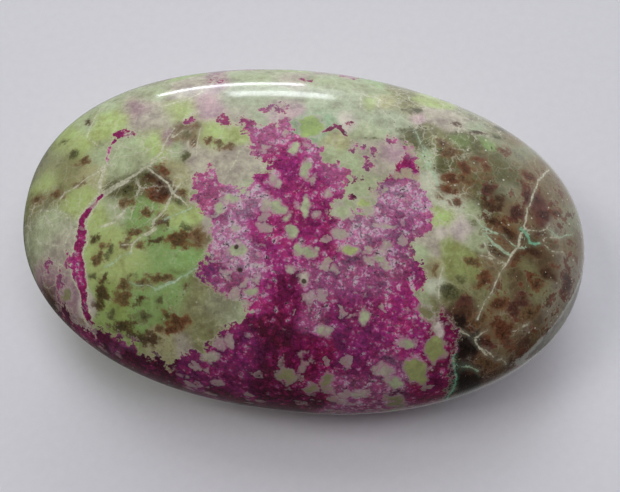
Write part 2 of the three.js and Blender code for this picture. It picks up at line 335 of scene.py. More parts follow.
# Patches of stichtite that stand by themselves in the serpentine, from firm ones to a faint blush:
# (x, y, half length, half width, turn, how far in mm the middle stands over the edge).
STICHTITE_PATCHES = [
    (-10, 8.65, 1.15, 0.6, -38, 0.6), (-7.2, 8.7, 0.9, 0.5, -30, 0.5), (-13.75, 8.6, 0.5, 0.3, 30, 0.25),
    (-21.6, 6.3, 0.9, 0.65, 10, 0.6), (-20.5, 6.5, 0.5, 0.4, 0, 0.05), (-3.8, 11.1, 1.3, 0.7, 5, 0.0),
    (-1.4, 16.5, 0.7, 0.4, 0, 0.3), (-5.6, 10.7, 0.5, 0.3, 0, 0.0), (-10.4, 2.4, 0.5, 0.4, 0, 0.0),
    (5.1, 6.7, 0.4, 0.5, 0, 0.1), (6.15, 6.7, 0.4, 0.3, 0, 0.15), (7.4, 6.4, 0.3, 0.4, 0, 0.05),
    (6.4, 5.3, 0.4, 0.3, 0, 0.1), (7.1, 4.55, 0.6, 0.6, 0, 0.05), (9.4, 8.8, 0.6, 0.35, 0, 0.05),
    (5.85, 2.6, 0.45, 0.25, 10, 0.2), (5.6, 0.3, 0.3, 0.2, 0, 0.1), (4.4, 9.7, 0.35, 0.3, 0, 0.2),
    (-25.3, -8.7, 0.5, 0.8, 0, 0.1), (-28, -9, 0.35, 0.6, 0, 0.0), (-26, -11.6, 0.6, 1.5, 10, 0.02),
    (-9.5, 18.8, 1.5, 0.5, 10, 0.5), (3.5, 18.8, 0.9, 0.7, 0, 0.4), (-18.5, 16.9, 0.7, 0.4, 30, 0.4),
    (-12, 15.2, 0.8, 0.35, 0, 0.0), (9.8, 8, 0.9, 0.5, -20, 0.0), (6.2, -7.7, 0.6, 0.4, 0, 0.2),
    (6.3, -1.2, 0.6, 0.5, 0, 0.3), (8.3, 1.5, 0.8, 0.5, 0, 0.3), (17.3, -13, 0.4, 1.6, 0, 0.3),
]

# Runs of stichtite that fill a crack: (half width at each end, points).
STICHTITE_RUNS = [
    (0.25, 0.35, [(-22.3, -1.6), (-23, -2.5), (-23.7, -3.6), (-24.2, -4.6)]),
    (0.35, 0.6, [(-24.2, -4.6), (-24.05, -5.6), (-23.85, -6.6), (-24, -7.3)]),
    (0.6, 0.72, [(-24, -7.3), (-24.3, -8.4), (-24.1, -9.2), (-23.8, -10)]),
    (0.72, 0.4, [(-23.8, -10), (-23.3, -11.1), (-22.95, -12.1)]),
    (0.4, 0.35, [(-22.95, -12.1), (-22.75, -13.2), (-22.6, -14.2), (-22, -15.2)]),
    (0.12, 0.25, [(-22.3, 5.4), (-22.7, 4.5), (-22.65, 3.5), (-22.55, 2.7)]),
    (0.2, 0.35, [(1.6, 8.25), (2.1, 8.65), (2.8, 9.25)]),
    (0.38, 0.15, [(2.8, 9.25), (3.35, 9.2), (3.8, 8.85), (4.15, 8.3)]),
    (0.3, 0.2, [(-2.8, 9.7), (-2.65, 8.5), (-1.9, 7.4), (-1.1, 7.2), (0.2, 6.9)]),
]

RUN_FIRMNESS = 3.2  # how much less ragged a run is than the main body

# The tone of the stichtite from place to place, with painted shade along the near rim: (x, y, reach, colour).
STICHTITE_POOLS = [
    (-10.8, -0.8, 1.4, "rose"), (-7, -1.5, 1.3, "lilac"), (-8.5, -3.5, 0.9, "mauve"),
    (-7, -6, 1.9, "lilac"), (-9, -9.3, 1.0, "violet"), (-6.5, -10.6, 1.5, "mauve"),
    (-5, -8.2, 1.3, "lilac"), (-4, -4.5, 1.2, "bright"), (-2.5, -7, 1.6, "bright"),
    (-3.4, 7.4, 1.2, "rose"), (-5, 6, 1.0, "rose"), (-2, 4, 1.8, "bright"), (1, 6, 1.1, "rose"),
    (3.6, 2.6, 1.2, "rose"), (1.5, 1, 1.4, "bright"), (2, -3.5, 1.7, "magenta"), (4.6, -3.6, 1.0, "rose"),
    (6.5, -3.5, 1.0, "lilac"), (11.9, 1, 1.7, "lilac"), (13.7, -1, 1.0, "rose"), (11, -1.5, 1.1, "mauve"),
    (9, -2.4, 0.8, "lilac"), (10.5, 4.5, 1.2, "magenta"), (11.2, 7.2, 0.8, "rose"), (9, -7.6, 1.7, "mauve"),
    (6.5, -9, 1.4, "mauve"), (11.5, -6.5, 1.0, "mauve"), (13.1, -7, 0.9, "purple"),
    (12, -11, 1.7, "bright"), (7, -12, 1.8, "purple"), (3, -9.5, 1.3, "mauve"), (2.8, -13.1, 1.2, "mauve"),
    (0, -12, 1.7, "deep"), (-3.2, -12, 1.0, "bright"), (-1, -15.5, 1.6, "maroon"),
    (-4, -17.5, 1.4, "purple"), (3, -17, 1.8, "deep"), (8, -16.5, 1.7, "purple"), (11, -17.2, 0.9, "mauve"),
    # The maroon pools at (-1, -20.5), (-15, -19), (-20, -17.3) and (-24.5, -15) lie on the near rim. They are
    # partly the stone's dark stichtite and partly painted shade, as that rim faces away from the light.
    (-1, -20.5, 2.4, "maroon"), (8, -20.3, 1.6, "mauve"), (-9.5, -18.5, 1.3, "purple"),
    (-15, -19, 1.8, "maroon"), (-20, -17.3, 1.8, "maroon"), (-24.5, -15, 1.8, "maroon"),
    (17.6, -16.6, 1.4, "deep"), (-23.8, -7, 2, "magenta"), (-24.2, -9.5, 1.5, "bright"),
    (-22.8, -13.5, 1.5, "magenta"), (-21.6, 6.3, 1.5, "magenta"), (-22.6, 3.5, 1.2, "rose"),
    (-9, 8.8, 1.4, "magenta"), (3, 9, 1.2, "deep"), (-25.6, -8.7, 0.9, "rose"), (-27, -10.5, 1.2, "mauve"),
    (17.6, -13.5, 1.2, "deep"), (-3.8, 11.1, 1, "mauve"), (-1.4, 16.5, 1, "magenta"), (7, 6, 1.2, "mauve"),
    (5.9, 2, 0.8, "maroon"), (-23.4, -2.8, 1, "magenta"), (-19, -16.4, 0.7, "rose"),
    (-17.4, -17.2, 0.7, "mauve"),
]

# Masses of saturated stichtite within the outline, by tone, laid out as the stains are.
MAGENTA_CLUMPS = {
    "deep": [
        (-8.45, -0.2, 0.8, 0.25), (-5.2, -1.6, 0.6, 0.6), (-5.7, -2.7, 1.1, 0.6), (-2.1, 3.55, 1.6, 0.9),
        (-1, 2.2, 0.9, 0.9), (-4.5, 1.7, 0.45, 0.7, -20), (-1.9, 0.65, 1.3, 0.6), (0.85, 1.1, 1.0, 0.5),
        (-1.4, -3.15, 0.9, 0.3), (0.1, -3.9, 0.6, 0.45), (1.6, 2.4, 1.0, 0.6), (2.4, 2, 0.8, 0.6),
        (1.95, 3.5, 0.5, 0.35), (0.4, 1.3, 1.1, 0.5), (2.8, -0.75, 0.5, 0.6), (9.8, 3, 1.1, 0.6),
        (8.4, 1.9, 1.0, 0.4), (8.7, -0.2, 0.9, 0.35), (6.6, -1.6, 0.5, 0.4), (7.9, -2.2, 0.35, 0.5),
        (5.45, -2.4, 0.6, 0.35), (2.2, -3.4, 0.8, 0.3), (3.4, -4.3, 0.6, 0.4), (5.6, -6.9, 0.7, 0.4),
        (4.75, -8.2, 0.5, 0.6), (7.5, -10.7, 0.6, 0.35), (5.3, -12.5, 0.6, 0.45), (4.3, -13, 0.8, 0.4),
        (-1.6, -11.2, 0.8, 0.5), (-1.1, -12.4, 1.2, 0.7), (-3.4, -13.8, 0.9, 0.45), (-1.5, -13.9, 1.0, 0.5),
        (-0.2, -14.1, 0.5, 0.5), (1.2, -12.2, 0.8, 0.6), (-1.4, -9.5, 0.9, 0.6), (11.4, -12.1, 0.7, 0.5),
        (7.1, -13.5, 0.7, 0.45), (14.3, -12.9, 0.7, 0.35), (11.6, 6.2, 0.3, 0.6, -10), (-10.3, 0, 0.6, 0.4),
        (10, 4, 0.6, 0.3), (-4, 5.1, 1.0, 0.4, -10), (-2.6, 5.15, 0.9, 0.45, -5), (-3.9, -5.8, 1.2, 0.5),
        (2.5, -16.1, 0.8, 0.7), (2.4, -17.4, 0.6, 0.6),
    ],
    "bright": [
        (-6.2, 7.4, 0.9, 0.6, -20), (-5, 7.95, 0.6, 0.35), (-5.6, 6.45, 0.9, 0.7), (-5.4, 5.1, 0.9, 0.7),
        (-2.8, 2.5, 1.1, 0.7), (-1.1, 4.1, 0.8, 0.4), (-3.25, 0.35, 0.7, 0.45), (-0.8, 0.1, 1.0, 0.6),
        (1.35, 2.3, 0.7, 0.5), (-2.1, -0.15, 0.9, 0.4), (-0.5, -1.7, 0.6, 0.5), (1.5, -0.2, 0.8, 0.5),
        (-4.3, -4.3, 1.0, 0.7), (-1.7, -5.6, 1.0, 0.7), (-1, -6.6, 1.0, 0.8), (-2.6, -7.1, 0.8, 0.6),
        (-3.9, -7.1, 0.7, 0.5), (-1.4, -7.9, 0.7, 0.4), (1.9, -4.4, 0.8, 0.5), (1.6, -5.5, 0.7, 0.5),
        (2.5, -7.2, 0.8, 0.5), (-2.3, -9.4, 1.1, 0.5), (-3.5, -13, 1.1, 0.4), (-5.6, -15.6, 0.9, 0.45),
        (12, 4.3, 0.7, 0.5), (10.9, 5.1, 0.9, 0.4), (11.5, 3.2, 1.0, 0.5), (8, -4.3, 1.0, 0.5),
        (8.9, -4.9, 0.8, 0.4), (8.65, -3.1, 0.8, 0.45), (9.6, -3, 1.0, 0.45), (7.8, -5.6, 0.8, 0.3),
        (11.8, -4.5, 0.5, 0.4), (3.9, -7, 1.0, 0.5), (3.2, -6.3, 1.0, 0.5), (3, -6.9, 0.6, 0.5),
        (13.1, -8, 0.8, 0.45), (13.8, -8.2, 0.5, 0.4), (13.7, -7.1, 0.45, 0.6), (12.4, -6.2, 0.4, 0.5),
        (12, -10.4, 1.0, 0.5), (13.5, -10, 0.6, 0.5), (10.4, -10.5, 0.8, 0.5), (12.1, -11.2, 1.3, 0.6),
        (13, -12.3, 0.9, 0.6), (8.7, -11.1, 0.8, 0.4), (4.4, -17.9, 0.5, 0.4), (5.2, -18, 0.5, 0.4),
        (3.1, -19.1, 0.7, 0.3), (17.2, -16.3, 0.4, 0.3), (-4.3, -12.4, 1.0, 0.5), (-11.3, 0.5, 0.45, 0.6),
        (3.75, 2.2, 0.8, 0.8), (4.1, 3.8, 0.6, 0.35), (4.1, -8.7, 0.5, 0.4), (-2.9, -0.9, 0.6, 0.4),
    ],
    "purple": [
        (-6, -16.5, 1.1, 0.35), (-7, -16.8, 0.6, 0.35), (-3.9, -17.6, 0.9, 0.8), (-0.3, -16.9, 0.5, 0.5),
        (-1.3, -17.3, 0.5, 0.35), (-10.2, -18.1, 0.9, 0.35), (-9.1, -18.3, 0.5, 0.35),
        (-7.9, -19, 0.5, 0.5), (-8.2, -3.9, 0.5, 0.4), (-8, -3.4, 0.6, 0.4), (8.7, -15.1, 0.6, 0.35),
        (13.1, -15, 0.8, 0.3), (-9.1, -9.3, 1.0, 0.6), (9.4, -8.7, 0.55, 0.7), (11.3, -0.9, 0.2, 0.8),
        (9.4, -1.1, 0.5, 0.35), (-9.4, -18.3, 1.0, 0.4), (-8.2, -19.1, 0.8, 0.35), (11.3, -5.6, 0.5, 0.35),
        (12.9, 2.2, 0.25, 0.35), (-9.2, -1.1, 0.7, 0.4), (-10.7, -1.1, 1.0, 0.45), (-11.3, -1.6, 0.7, 0.35),
        (13.2, -6.4, 0.6, 0.4),
    ],
}

# Grains so dark that they read as black, laid out as the stains are. The long thin ones along the near rim are
# painted shade.
DARK_CLUMPS = [
    (-3.7, -3.2, 0.4, 0.8, 30), (-3.1, -4.2, 0.5, 0.5), (1.5, -3.2, 0.8, 0.4), (1.5, -1.6, 0.4, 0.3),
    (1.2, -2.2, 0.2, 0.5), (-1.2, -9.6, 0.4, 0.7), (0.4, -9.2, 0.5, 0.5), (-0.85, -10.4, 0.35, 1.2),
    (0.3, -10.95, 0.6, 0.35), (-1.8, -13.4, 0.7, 0.3), (-0.4, -13.3, 0.3, 0.3), (1.1, -13.4, 0.3, 0.3),
    (-4.4, -15.7, 0.5, 0.35), (-5.4, -16.3, 0.5, 0.2), (-0.7, -15.3, 0.6, 0.5), (0.6, -15.2, 0.7, 0.45),
    (-0.6, -16, 0.5, 0.4), (-2.9, -16.3, 0.3, 0.7), (-2.9, -17.4, 0.3, 0.6), (-1.6, -16.6, 0.5, 0.3),
    (-2.5, -17.6, 0.4, 0.3), (1.2, -16.6, 0.6, 0.25), (2.2, -16.9, 0.4, 0.2), (3.5, -17.3, 0.4, 0.3),
    (-6.2, -19.4, 0.6, 0.35), (-5.5, -20, 0.4, 0.3), (-3.6, -18.5, 0.4, 0.4), (-3.3, -20.4, 0.8, 0.25),
    (-2, -20, 0.4, 0.3), (-11.7, -17.95, 0.35, 0.12), (11.1, -3.35, 0.35, 0.6), (3.4, -5.6, 0.5, 0.35),
    (3.6, -2.6, 0.4, 0.25), (6.4, -6.4, 0.8, 0.25, 10), (6, -15.3, 0.4, 0.45), (6.1, -14.6, 0.4, 0.25),
    (7.6, -17.8, 0.5, 0.2), (8.8, -17.3, 0.4, 0.2), (5.8, -17.3, 0.35, 0.25), (7.9, -18.6, 0.35, 0.18),
    (3.3, -17.7, 0.3, 0.25), (10.6, -18.1, 0.3, 0.15), (11, -16.2, 0.9, 0.3, -15), (9.9, -12.9, 0.2, 0.4),
    (10.8, -13.5, 0.3, 0.25), (10.3, 1.5, 0.8, 0.35), (9.3, 1.7, 0.45, 0.35), (-5.6, -9, 0.35, 0.3),
    (-5.1, -12.2, 0.35, 0.3), (-8.6, 9, 0.25, 0.15), (-8.3, 9.3, 0.12, 0.12), (-2.2, 11.4, 0.2, 0.15),
    # From (-20, -17) on, the long thin strips lie along the near rim and darken it as painted shade.
    (-2.7, -7.4, 0.15, 0.5), (-20, -17, 1.4, 0.3, -18), (-15.2, -18.5, 1.0, 0.3, -8),
    (-13.6, -18.8, 1.0, 0.3, -10), (-17, -18.3, 1.0, 0.3, -15), (-10, -19.6, 1.5, 0.3, -5),
    (16.8, -17.3, 0.8, 0.35, 10), (13, -18.9, 1.2, 0.3, 5),
]

# Rounded grains of serpentine that the stichtite has grown round, by colour, laid out as the stains are.
ISLANDS = {
    "grey green": [
        (-1.5, 5.75, 0.5, 0.7), (0.2, 3.3, 0.5, 1.0, -12), (-7.5, -1.1, 0.9, 0.45),
        (-2.3, -1.7, 1.1, 0.65, -20), (0.65, -1.3, 0.45, 1.0), (-0.65, -4.05, 0.55, 0.65),
        (1.6, -6.35, 0.6, 0.6), (-6.1, -7, 0.95, 0.6, -5), (-8.7, -2.3, 0.6, 0.5),
        (-4.1, -11.2, 0.65, 0.45), (4.6, -1.4, 0.8, 0.7), (9.2, -6.2, 0.9, 0.4, -6),
        (8.2, -12.4, 0.45, 0.6), (3.5, -14.3, 0.35, 0.45), (12.3, -18.2, 0.7, 0.45), (-1.3, -3, 0.3, 0.25),
        (0.5, -6, 0.5, 0.7), (13.2, -14.3, 0.6, 0.4),
    ],
    "haze": [
        (-3.4, 1.8, 0.45, 0.55), (-2.8, 1.05, 0.3, 0.35), (-3.7, -1.3, 0.5, 0.9, 10),
        (2.8, 0.6, 0.35, 0.45), (1.8, -2.1, 0.4, 0.3), (4.2, -0.6, 0.5, 0.4), (9.85, -4.6, 0.45, 0.45),
        (9.4, -5.4, 0.4, 0.25), (10, -6.9, 0.7, 0.35), (4.4, -14.3, 0.45, 0.45), (12.4, -14.4, 0.35, 0.3),
        (11, -17.3, 0.8, 0.4), (-6.6, -4.5, 0.45, 0.35), (-0.1, -8.4, 0.4, 0.35), (7.6, -1, 0.4, 0.3),
        (1.35, -9.4, 0.55, 0.55), (-7.9, -17.9, 0.7, 0.3), (8.6, -19.6, 0.9, 0.25), (-3.5, -8.4, 0.8, 0.2),
        (-9.9, -4.2, 0.3, 0.6), (4.6, -3.9, 0.9, 0.5), (9.3, -2.4, 0.9, 0.2),
    ],
    "apple": [
        (6.9, 0, 0.75, 0.5), (5.85, -5.6, 1.0, 0.42),
    ],
    "bright green": [(0, 8.9, 1.35, 1.7)],
    "leaf": [(16.1, -14.5, 1.15, 1.2), (14.3, -16.7, 1.4, 1.0, -30)],
    "olive": [
        (14.7, -11.1, 0.9, 0.7), (-25.3, -12.3, 0.75, 0.6), (0.4, -18.9, 1.0, 0.6), (4.9, -19, 0.55, 0.6),
        (3.2, -19.7, 0.7, 0.3), (12.7, -19.5, 1.2, 0.35),
    ],
    "pink white": [
        (16.2, -12.6, 0.55, 0.7),
    ],
}

# Pits that show as a small dark grain in a paler ring: (x, y, radius).
PITS = [(1.35, -9.5, 0.3), (-5.6, -9, 0.28), (-6.3, -6.5, 0.3)]

# Veins: (colour, half width at each end, points).
VEINS = [
    ("cream", 0.1, 0.21, [(-15.9, 3.3), (-16.9, 2.8), (-17.7, 2), (-18.5, 1.4), (-19.3, 0.7),
        (-19.9, 0.1)]),
    ("cream", 0.21, 0.55, [(-19.9, 0.1), (-20.6, -0.4), (-21.4, -0.95), (-22.2, -1.45), (-22.8, -2)]),
    ("cream", 0.5, 0.66, [(-22.8, -2), (-23.7, -3.6), (-24.2, -4.6)]),
    ("cream", 0.62, 0.84, [(-24.2, -4.6), (-24.05, -5.6), (-23.85, -6.6), (-24, -7.3)]),
    ("cream", 0.84, 0.94, [(-24, -7.3), (-24.3, -8.4), (-24.1, -9.2), (-23.8, -10)]),
    ("cream", 0.94, 0.64, [(-23.8, -10), (-23.3, -11.1), (-22.95, -12.1)]),
    ("cream", 0.62, 0.55, [(-22.95, -12.1), (-22.75, -13.2), (-22.6, -14.2), (-22.3, -14.8)]),
    ("cream", 0.21, 0.21, [(-22.3, 5.4), (-22.7, 4.5), (-22.65, 3.5), (-22.55, 2.7), (-22.6, 1.8),
        (-22.8, 1), (-22.8, 0), (-22.6, -0.9)]),
    ("cream", 0.11, 0.1, [(-17.5, 1.9), (-16.4, 1.1), (-15.6, 0.6), (-14.8, -0.2), (-14.1, -0.9),
        (-13.2, -1.5), (-12.3, -2.2)]),
    ("cream", 0.08, 0.13, [(-12.1, 1.2), (-13, 0.5), (-13.6, 0), (-14, -0.9), (-14.4, -1.9),
        (-14.85, -3.15), (-15.3, -3.7), (-15.8, -4.2), (-15.9, -4.75)]),
    ("cream", 0.21, 0.09, [(-15.5, -5.2), (-16.1, -5.7), (-16.8, -6.05), (-17.2, -6.6), (-17.7, -7.15),
        (-17.75, -8)]),
    ("cream", 0.07, 0.06, [(-17.7, -7.15), (-18.3, -7.15), (-18.9, -7.35)]),
    ("mint", 0.08, 0.1, [(-17.8, -8), (-18.3, -8.2), (-19, -8.5), (-19.6, -9.1), (-20.5, -9.7)]),
    ("cream", 0.17, 0.1, [(-19.3, -3.4), (-20.05, -4.4), (-20.7, -4.8), (-22, -5.3)]),
    ("mint", 0.1, 0.1, [(-14.6, -4), (-13.5, -3.5), (-12.5, -3), (-11.9, -2.6)]),
    ("mint", 0.13, 0.1, [(-14.6, -11.8), (-13.3, -11), (-12.5, -10.8), (-11.8, -10.3), (-11.1, -10),
        (-10.6, -9.6), (-10, -9.2)]),
    ("cream", 0.06, 0.07, [(-30.5, -3.4), (-29.8, -2.8), (-29.1, -3), (-28.2, -2.9), (-27.2, -3.3),
        (-26.3, -3.7), (-25.3, -4.1)]),
    ("cream", 0.06, 0.07, [(-28.8, -4.2), (-27.9, -4.8), (-26.8, -4.6), (-26.2, -4.3), (-25.4, -3.9)]),
    ("cream", 0.06, 0.06, [(-24.9, -5.4), (-25.2, -5.8), (-25.7, -6), (-25.9, -6.8), (-25.85, -7.8),
        (-25.4, -8.5)]),
    ("cream", 0.05, 0.06, [(-30.2, -6.2), (-29, -6.7), (-27.6, -7.1), (-26.4, -7.2)]),
    ("cream", 0.05, 0.06, [(-27.6, -8.7), (-26.8, -9.1), (-26, -9.4)]),
    ("cream", 0.07, 0.08, [(-18.3, 10.1), (-17.3, 10.6), (-16.3, 11), (-15, 11.5), (-13.8, 12.4),
        (-13.3, 13.3)]),
    ("cream", 0.07, 0.06, [(-25.7, 11.2), (-25.9, 9.5), (-26.1, 7.8), (-26, 6.2), (-25.1, 5.4),
        (-24.4, 4.9)]),
    ("cream", 0.06, 0.08, [(-27.6, -2), (-27.1, -1), (-26.2, -0.5), (-25.2, 0.1), (-24.3, 0.8),
        (-23.5, 1.2), (-22.9, 1.9)]),
    ("cream", 0.1, 0.16, [(-15.4, 7.2), (-16, 6.1), (-16.1, 5), (-16.3, 4), (-17.1, 3)]),
    ("cream", 0.06, 0.05, [(-16, 4.3), (-15, 4), (-14, 4.1), (-13.4, 4.9), (-13.5, 5.6)]),
    ("cream", 0.08, 0.06, [(-12.3, 7.4), (-12.5, 6), (-12.4, 4.8), (-12.3, 3.6)]),
    ("cream", 0.06, 0.05, [(-15.5, 6), (-14.8, 6.4), (-14.1, 7)]),
    ("mint", 0.04, 0.06, [(-17.6, -11.1), (-16.5, -11.4), (-15.5, -11.4), (-14.6, -11.5)]),
    ("cream", 0.07, 0.06, [(-14.9, 8.3), (-13.9, 9.1), (-13.2, 9.8)]),
    ("cream", 0.06, 0.06, [(-6.9, 5.5), (-7.4, 4.8), (-7.5, 4.1), (-8, 3), (-8.6, 1.9)]),
    ("cream", 0.05, 0.05, [(-8.2, 2.2), (-8.1, 1.4), (-8.2, 0.5)]),
    ("cream", 0.07, 0.07, [(-5, 4), (-4.4, 3.4), (-4.8, 2.6)]),
    # right end
    ("cream", 0.1, 0.08, [(28.4, 9.2), (27.8, 8.2), (26.8, 6.6), (26.2, 5.4), (25.95, 4.2), (25.7, 3.3),
        (25.3, 2.6), (25.2, 1.6), (25.05, 0.5), (24.9, -0.1)]),
    ("bright mint", 0.21, 0.14, [(24.6, -0.3), (25.2, -0.5), (25.5, -1), (25.65, -1.45), (26.3, -1.45),
        (26.9, -1.2)]),
    ("cream", 0.11, 0.09, [(24.7, -0.4), (24.5, -1.3), (24.4, -1.9), (24.1, -2.4), (23.7, -3.1),
        (23.4, -3.6)]),
    ("cream", 0.09, 0.03, [(23.4, -3.6), (23.2, -4.2), (22.8, -4.9), (22.45, -5.55), (22.2, -6.2),
        (21.95, -6.8), (21.8, -7.4), (21.4, -8.2), (21.05, -8.8), (20.8, -9.6), (20.3, -10.9)]),
    ("mint", 0.08, 0.07, [(19.6, -0.3), (20.1, -0.6), (20.7, -0.9), (21.3, -1.2), (21.85, -1.25),
        (22.6, -1.35), (23.05, -1.85), (23.65, -2.2), (24.2, -2.3), (24.95, -2.2)]),
    ("mint", 0.07, 0.21, [(20.3, -1.4), (20.95, -2.1), (21.4, -2.55)]),
    ("mint", 0.21, 0.1, [(21.4, -2.55), (22.1, -2.8), (22.7, -3.15), (23.4, -3.45)]),
    ("cream", 0.07, 0.07, [(20.2, -2.4), (20.6, -3.1), (21.1, -3.8), (21.7, -4.1), (22.4, -4.3),
        (23, -4.6)]),
    ("cream", 0.05, 0.06, [(20.1, -4), (20.8, -4.1), (21.5, -4.4), (22.2, -4.5)]),
    ("cream", 0.06, 0.06, [(25.1, -0.1), (26.1, 0), (26.9, 0.2), (27.7, 0.65), (28.2, 1.4)]),
    ("mint", 0.07, 0.1, [(27.9, 0.8), (28.9, 0.3), (29.6, 0.35), (30.3, 0.8), (31.1, 1.2)]),
    ("cream", 0.06, 0.05, [(26.9, -0.9), (27.7, -0.45), (28.4, -0.2), (29.3, 0.1)]),
    ("cream", 0.06, 0.05, [(26.9, -1.1), (27.65, -1.3), (28.3, -1.65), (28.75, -1.7), (29.2, -1.5),
        (29.7, -1.25), (30, -1.5)]),
    ("cream", 0.07, 0.08, [(13.6, 5), (14, 3.9), (14.4, 2.9), (15.4, 2), (16.4, 1.6), (16.8, 0.8),
        (17.5, 0.4), (18.35, 0.45), (19.3, 0.2), (19.9, -0.4)]),
    ("mint", 0.08, 0.1, [(11.8, 10.2), (12.4, 9), (12.8, 7.8), (13.1, 6.5), (13.4, 5.4), (13.6, 5)]),
    ("mint", 0.05, 0.07, [(12.6, 8.4), (13.4, 7.6), (13.7, 6.4), (14, 5.2), (14.6, 4.2), (15, 3.2)]),
    ("cream", 0.06, 0.06, [(13.3, 3.8), (14.4, 1.9), (15.2, 1.1), (16.2, 0.4), (17.2, -0.3)]),
    ("cream", 0.08, 0.08, [(15.8, -6.2), (15.7, -7), (15.8, -8), (15.9, -9), (16, -9.9)]),
    ("rose", 0.07, 0.06, [(16.1, -10.2), (17.1, -11.1), (17.6, -11.9), (18.1, -12.4), (18.1, -13.3),
        (18.6, -14), (18.1, -14.8), (18.2, -15.7), (18.4, -16.2), (18, -17), (18.3, -18)]),
    ("cream", 0.08, 0.07, [(18.15, -12.3), (18.8, -12.5), (19.35, -12.6), (19.95, -12.8), (20.6, -13.1),
        (20.9, -13.5), (21.5, -13.8), (22.2, -14.1)]),
    ("cream", 0.06, 0.05, [(20.1, -12.8), (20.7, -12.5), (21.1, -12), (21.8, -11.5)]),
    ("cream", 0.05, 0.08, [(20.9, -13.5), (21.9, -13.6), (22.9, -14.1), (24, -14), (24.6, -14.3)]),
    ("cream", 0.05, 0.06, [(24.6, -11.2), (25.1, -10.9), (25.7, -10.5), (26.4, -10.1)]),
    ("mint", 0.07, 0.06, [(19.2, -15.6), (20.2, -15.4), (20.8, -15.5), (21.4, -15.6)]),
    ("bright mint", 0.1, 0.13, [(18.4, -14.5), (18.3, -15.2), (18.6, -15.9), (18.8, -16.6), (19, -17.2),
        (18.8, -17.9)]),
    ("cream", 0.08, 0.07, [(5.3, 14.3), (5.4, 13.4), (5.5, 12.5)]),
    ("cream", 0.1, 0.1, [(5.1, 14.9), (6.1, 14.7), (7.1, 14.6)]),
    ("cream", 0.08, 0.07, [(7.6, 14.3), (7.3, 13.3), (7.8, 12.6), (8.4, 12.2)]),
]


# --- Settings --------------------------------------------------------------------------------------


class StoneSettings(bpy.types.PropertyGroup):
    crown: FloatProperty(
        name="Crown", description="Height of the crown over the widest line", default=13 * MM, unit="LENGTH"
    )
    belly: FloatProperty(
        name="Belly", description="Depth of the belly under the widest line", default=11 * MM, unit="LENGTH"
    )
    foot: FloatProperty(
        name="Foot",
        description="Depth that the resting flat takes off the belly",
        default=0.22 * MM,
        unit="LENGTH",
    )
    cuts: IntProperty(
        name="Cuts", description="Cuts across each side of the starting cube", default=79, min=3
    )
    grain: FloatProperty(
        name="Grain",
        description="Size of a grain of stichtite",
        default=0.38 * MM,
        unit="LENGTH",
        precision=5,
    )
    polish: FloatProperty(
        name="Polish", description="Roughness of the polished face", default=0.1, subtype="FACTOR"
    )
    ground_edge: FloatProperty(
        name="Ground edge",
        description="Roughness of the half polished slice at one end",
        default=0.34,
        subtype="FACTOR",
    )


class StageSettings(bpy.types.PropertyGroup):
    floor: FloatProperty(name="Floor", description="Width of the paper floor", default=1.6, unit="LENGTH")
    paper: FloatVectorProperty(
        name="Paper", description="Colour of the paper", default=linear("e6e5e9"), size=3, subtype="COLOR"
    )
    azimuth: FloatProperty(
        name="Azimuth",
        description="Turn of the camera from the near side",
        default=math.radians(6.35),
        unit="ROTATION",
    )
    elevation: FloatProperty(
        name="Elevation",
        description="Height of the camera over the floor",
        default=math.radians(70),
        unit="ROTATION",
    )
    distance: FloatProperty(
        name="Distance", description="Distance from the camera to its aim", default=105 * MM, unit="LENGTH"
    )
    aim: FloatVectorProperty(
        name="Aim",
        description="Point that the camera looks at",
        default=(1.098 * MM, -1.379 * MM, 11.78 * MM),
        size=3,
        subtype="XYZ",
    )
    lens: FloatProperty(name="Lens", description="Focal length of the camera in millimetres", default=50)


# --- The stone's form ------------------------------------------------------------------------------


def rim_radius(turn):
    """The plan radius of the widest line at each turn."""
    along = np.abs(np.cos(turn) / HALF_LENGTH) ** PLAN_FULLNESS
    across = np.abs(np.sin(turn) / HALF_WIDTH) ** PLAN_FULLNESS
    swell = 1 + sum(c * np.cos(n * turn) + s * np.sin(n * turn) for n, c, s in RIM_SWELLS)
    return swell * (along + across) ** (-1 / PLAN_FULLNESS)


def bevel_radius(turn, height, rim):
    """The plan radius of the leaning slice at each turn and height over the widest line."""
    off = np.abs((turn - BEVEL_MIDDLE + math.pi) % math.tau - math.pi)
    nearness = np.where(off < BEVEL_HALF_SPREAD, np.cos(0.5 * math.pi * off / BEVEL_HALF_SPREAD) ** 2, 0)
    stand_off = BEVEL_CLEAR + (BEVEL_STAND_OFF - BEVEL_CLEAR) * nearness
    wall = rim * (1 + stand_off) - BEVEL_LEAN * np.maximum(height, 0)
    return np.where(off < BEVEL_HALF_SPREAD, wall, np.inf)


def stone_shape(directions, settings):
    """Puts directions on the stone's form.

    Gives the points, how far past the slice each was before it was ground, how far round from the top each
    lies (1 at the widest line and 2 underneath), and its turn in plan.
    """
    directions = directions / np.linalg.norm(directions, axis=1)[:, None]
    turn = np.arctan2(directions[:, 1], directions[:, 0])
    polar = np.arccos(np.clip(directions[:, 2], -1, 1)) / (math.pi / 2)
    spread = np.where(polar < 1, polar * (CROWN_SPACING + (1 - CROWN_SPACING) * polar), polar)
    level = np.sin(spread * math.pi / 2)
    rise = np.cos(spread * math.pi / 2)
    fullness = (level**SIDE_FULLNESS + np.abs(rise) ** SIDE_FULLNESS) ** (-1 / SIDE_FULLNESS)
    rim = rim_radius(turn)
    height = fullness * rise * np.where(rise > 0, settings.crown, settings.belly)
    radius = rim * fullness * level
    wall = bevel_radius(turn, height, rim)
    shaved = radius - wall
    radius = np.minimum(radius, wall)
    height = np.maximum(height, settings.foot - settings.belly)
    points = np.stack([radius * np.cos(turn), radius * np.sin(turn), height], axis=1)
    low, high = points.min(axis=0), points.max(axis=0)
    points = BOX_LOW + (points - low) * (BOX_HIGH - BOX_LOW) / (high - low)
    return points, shaved, spread, turn


# --- Reading the marks -----------------------------------------------------------------------------


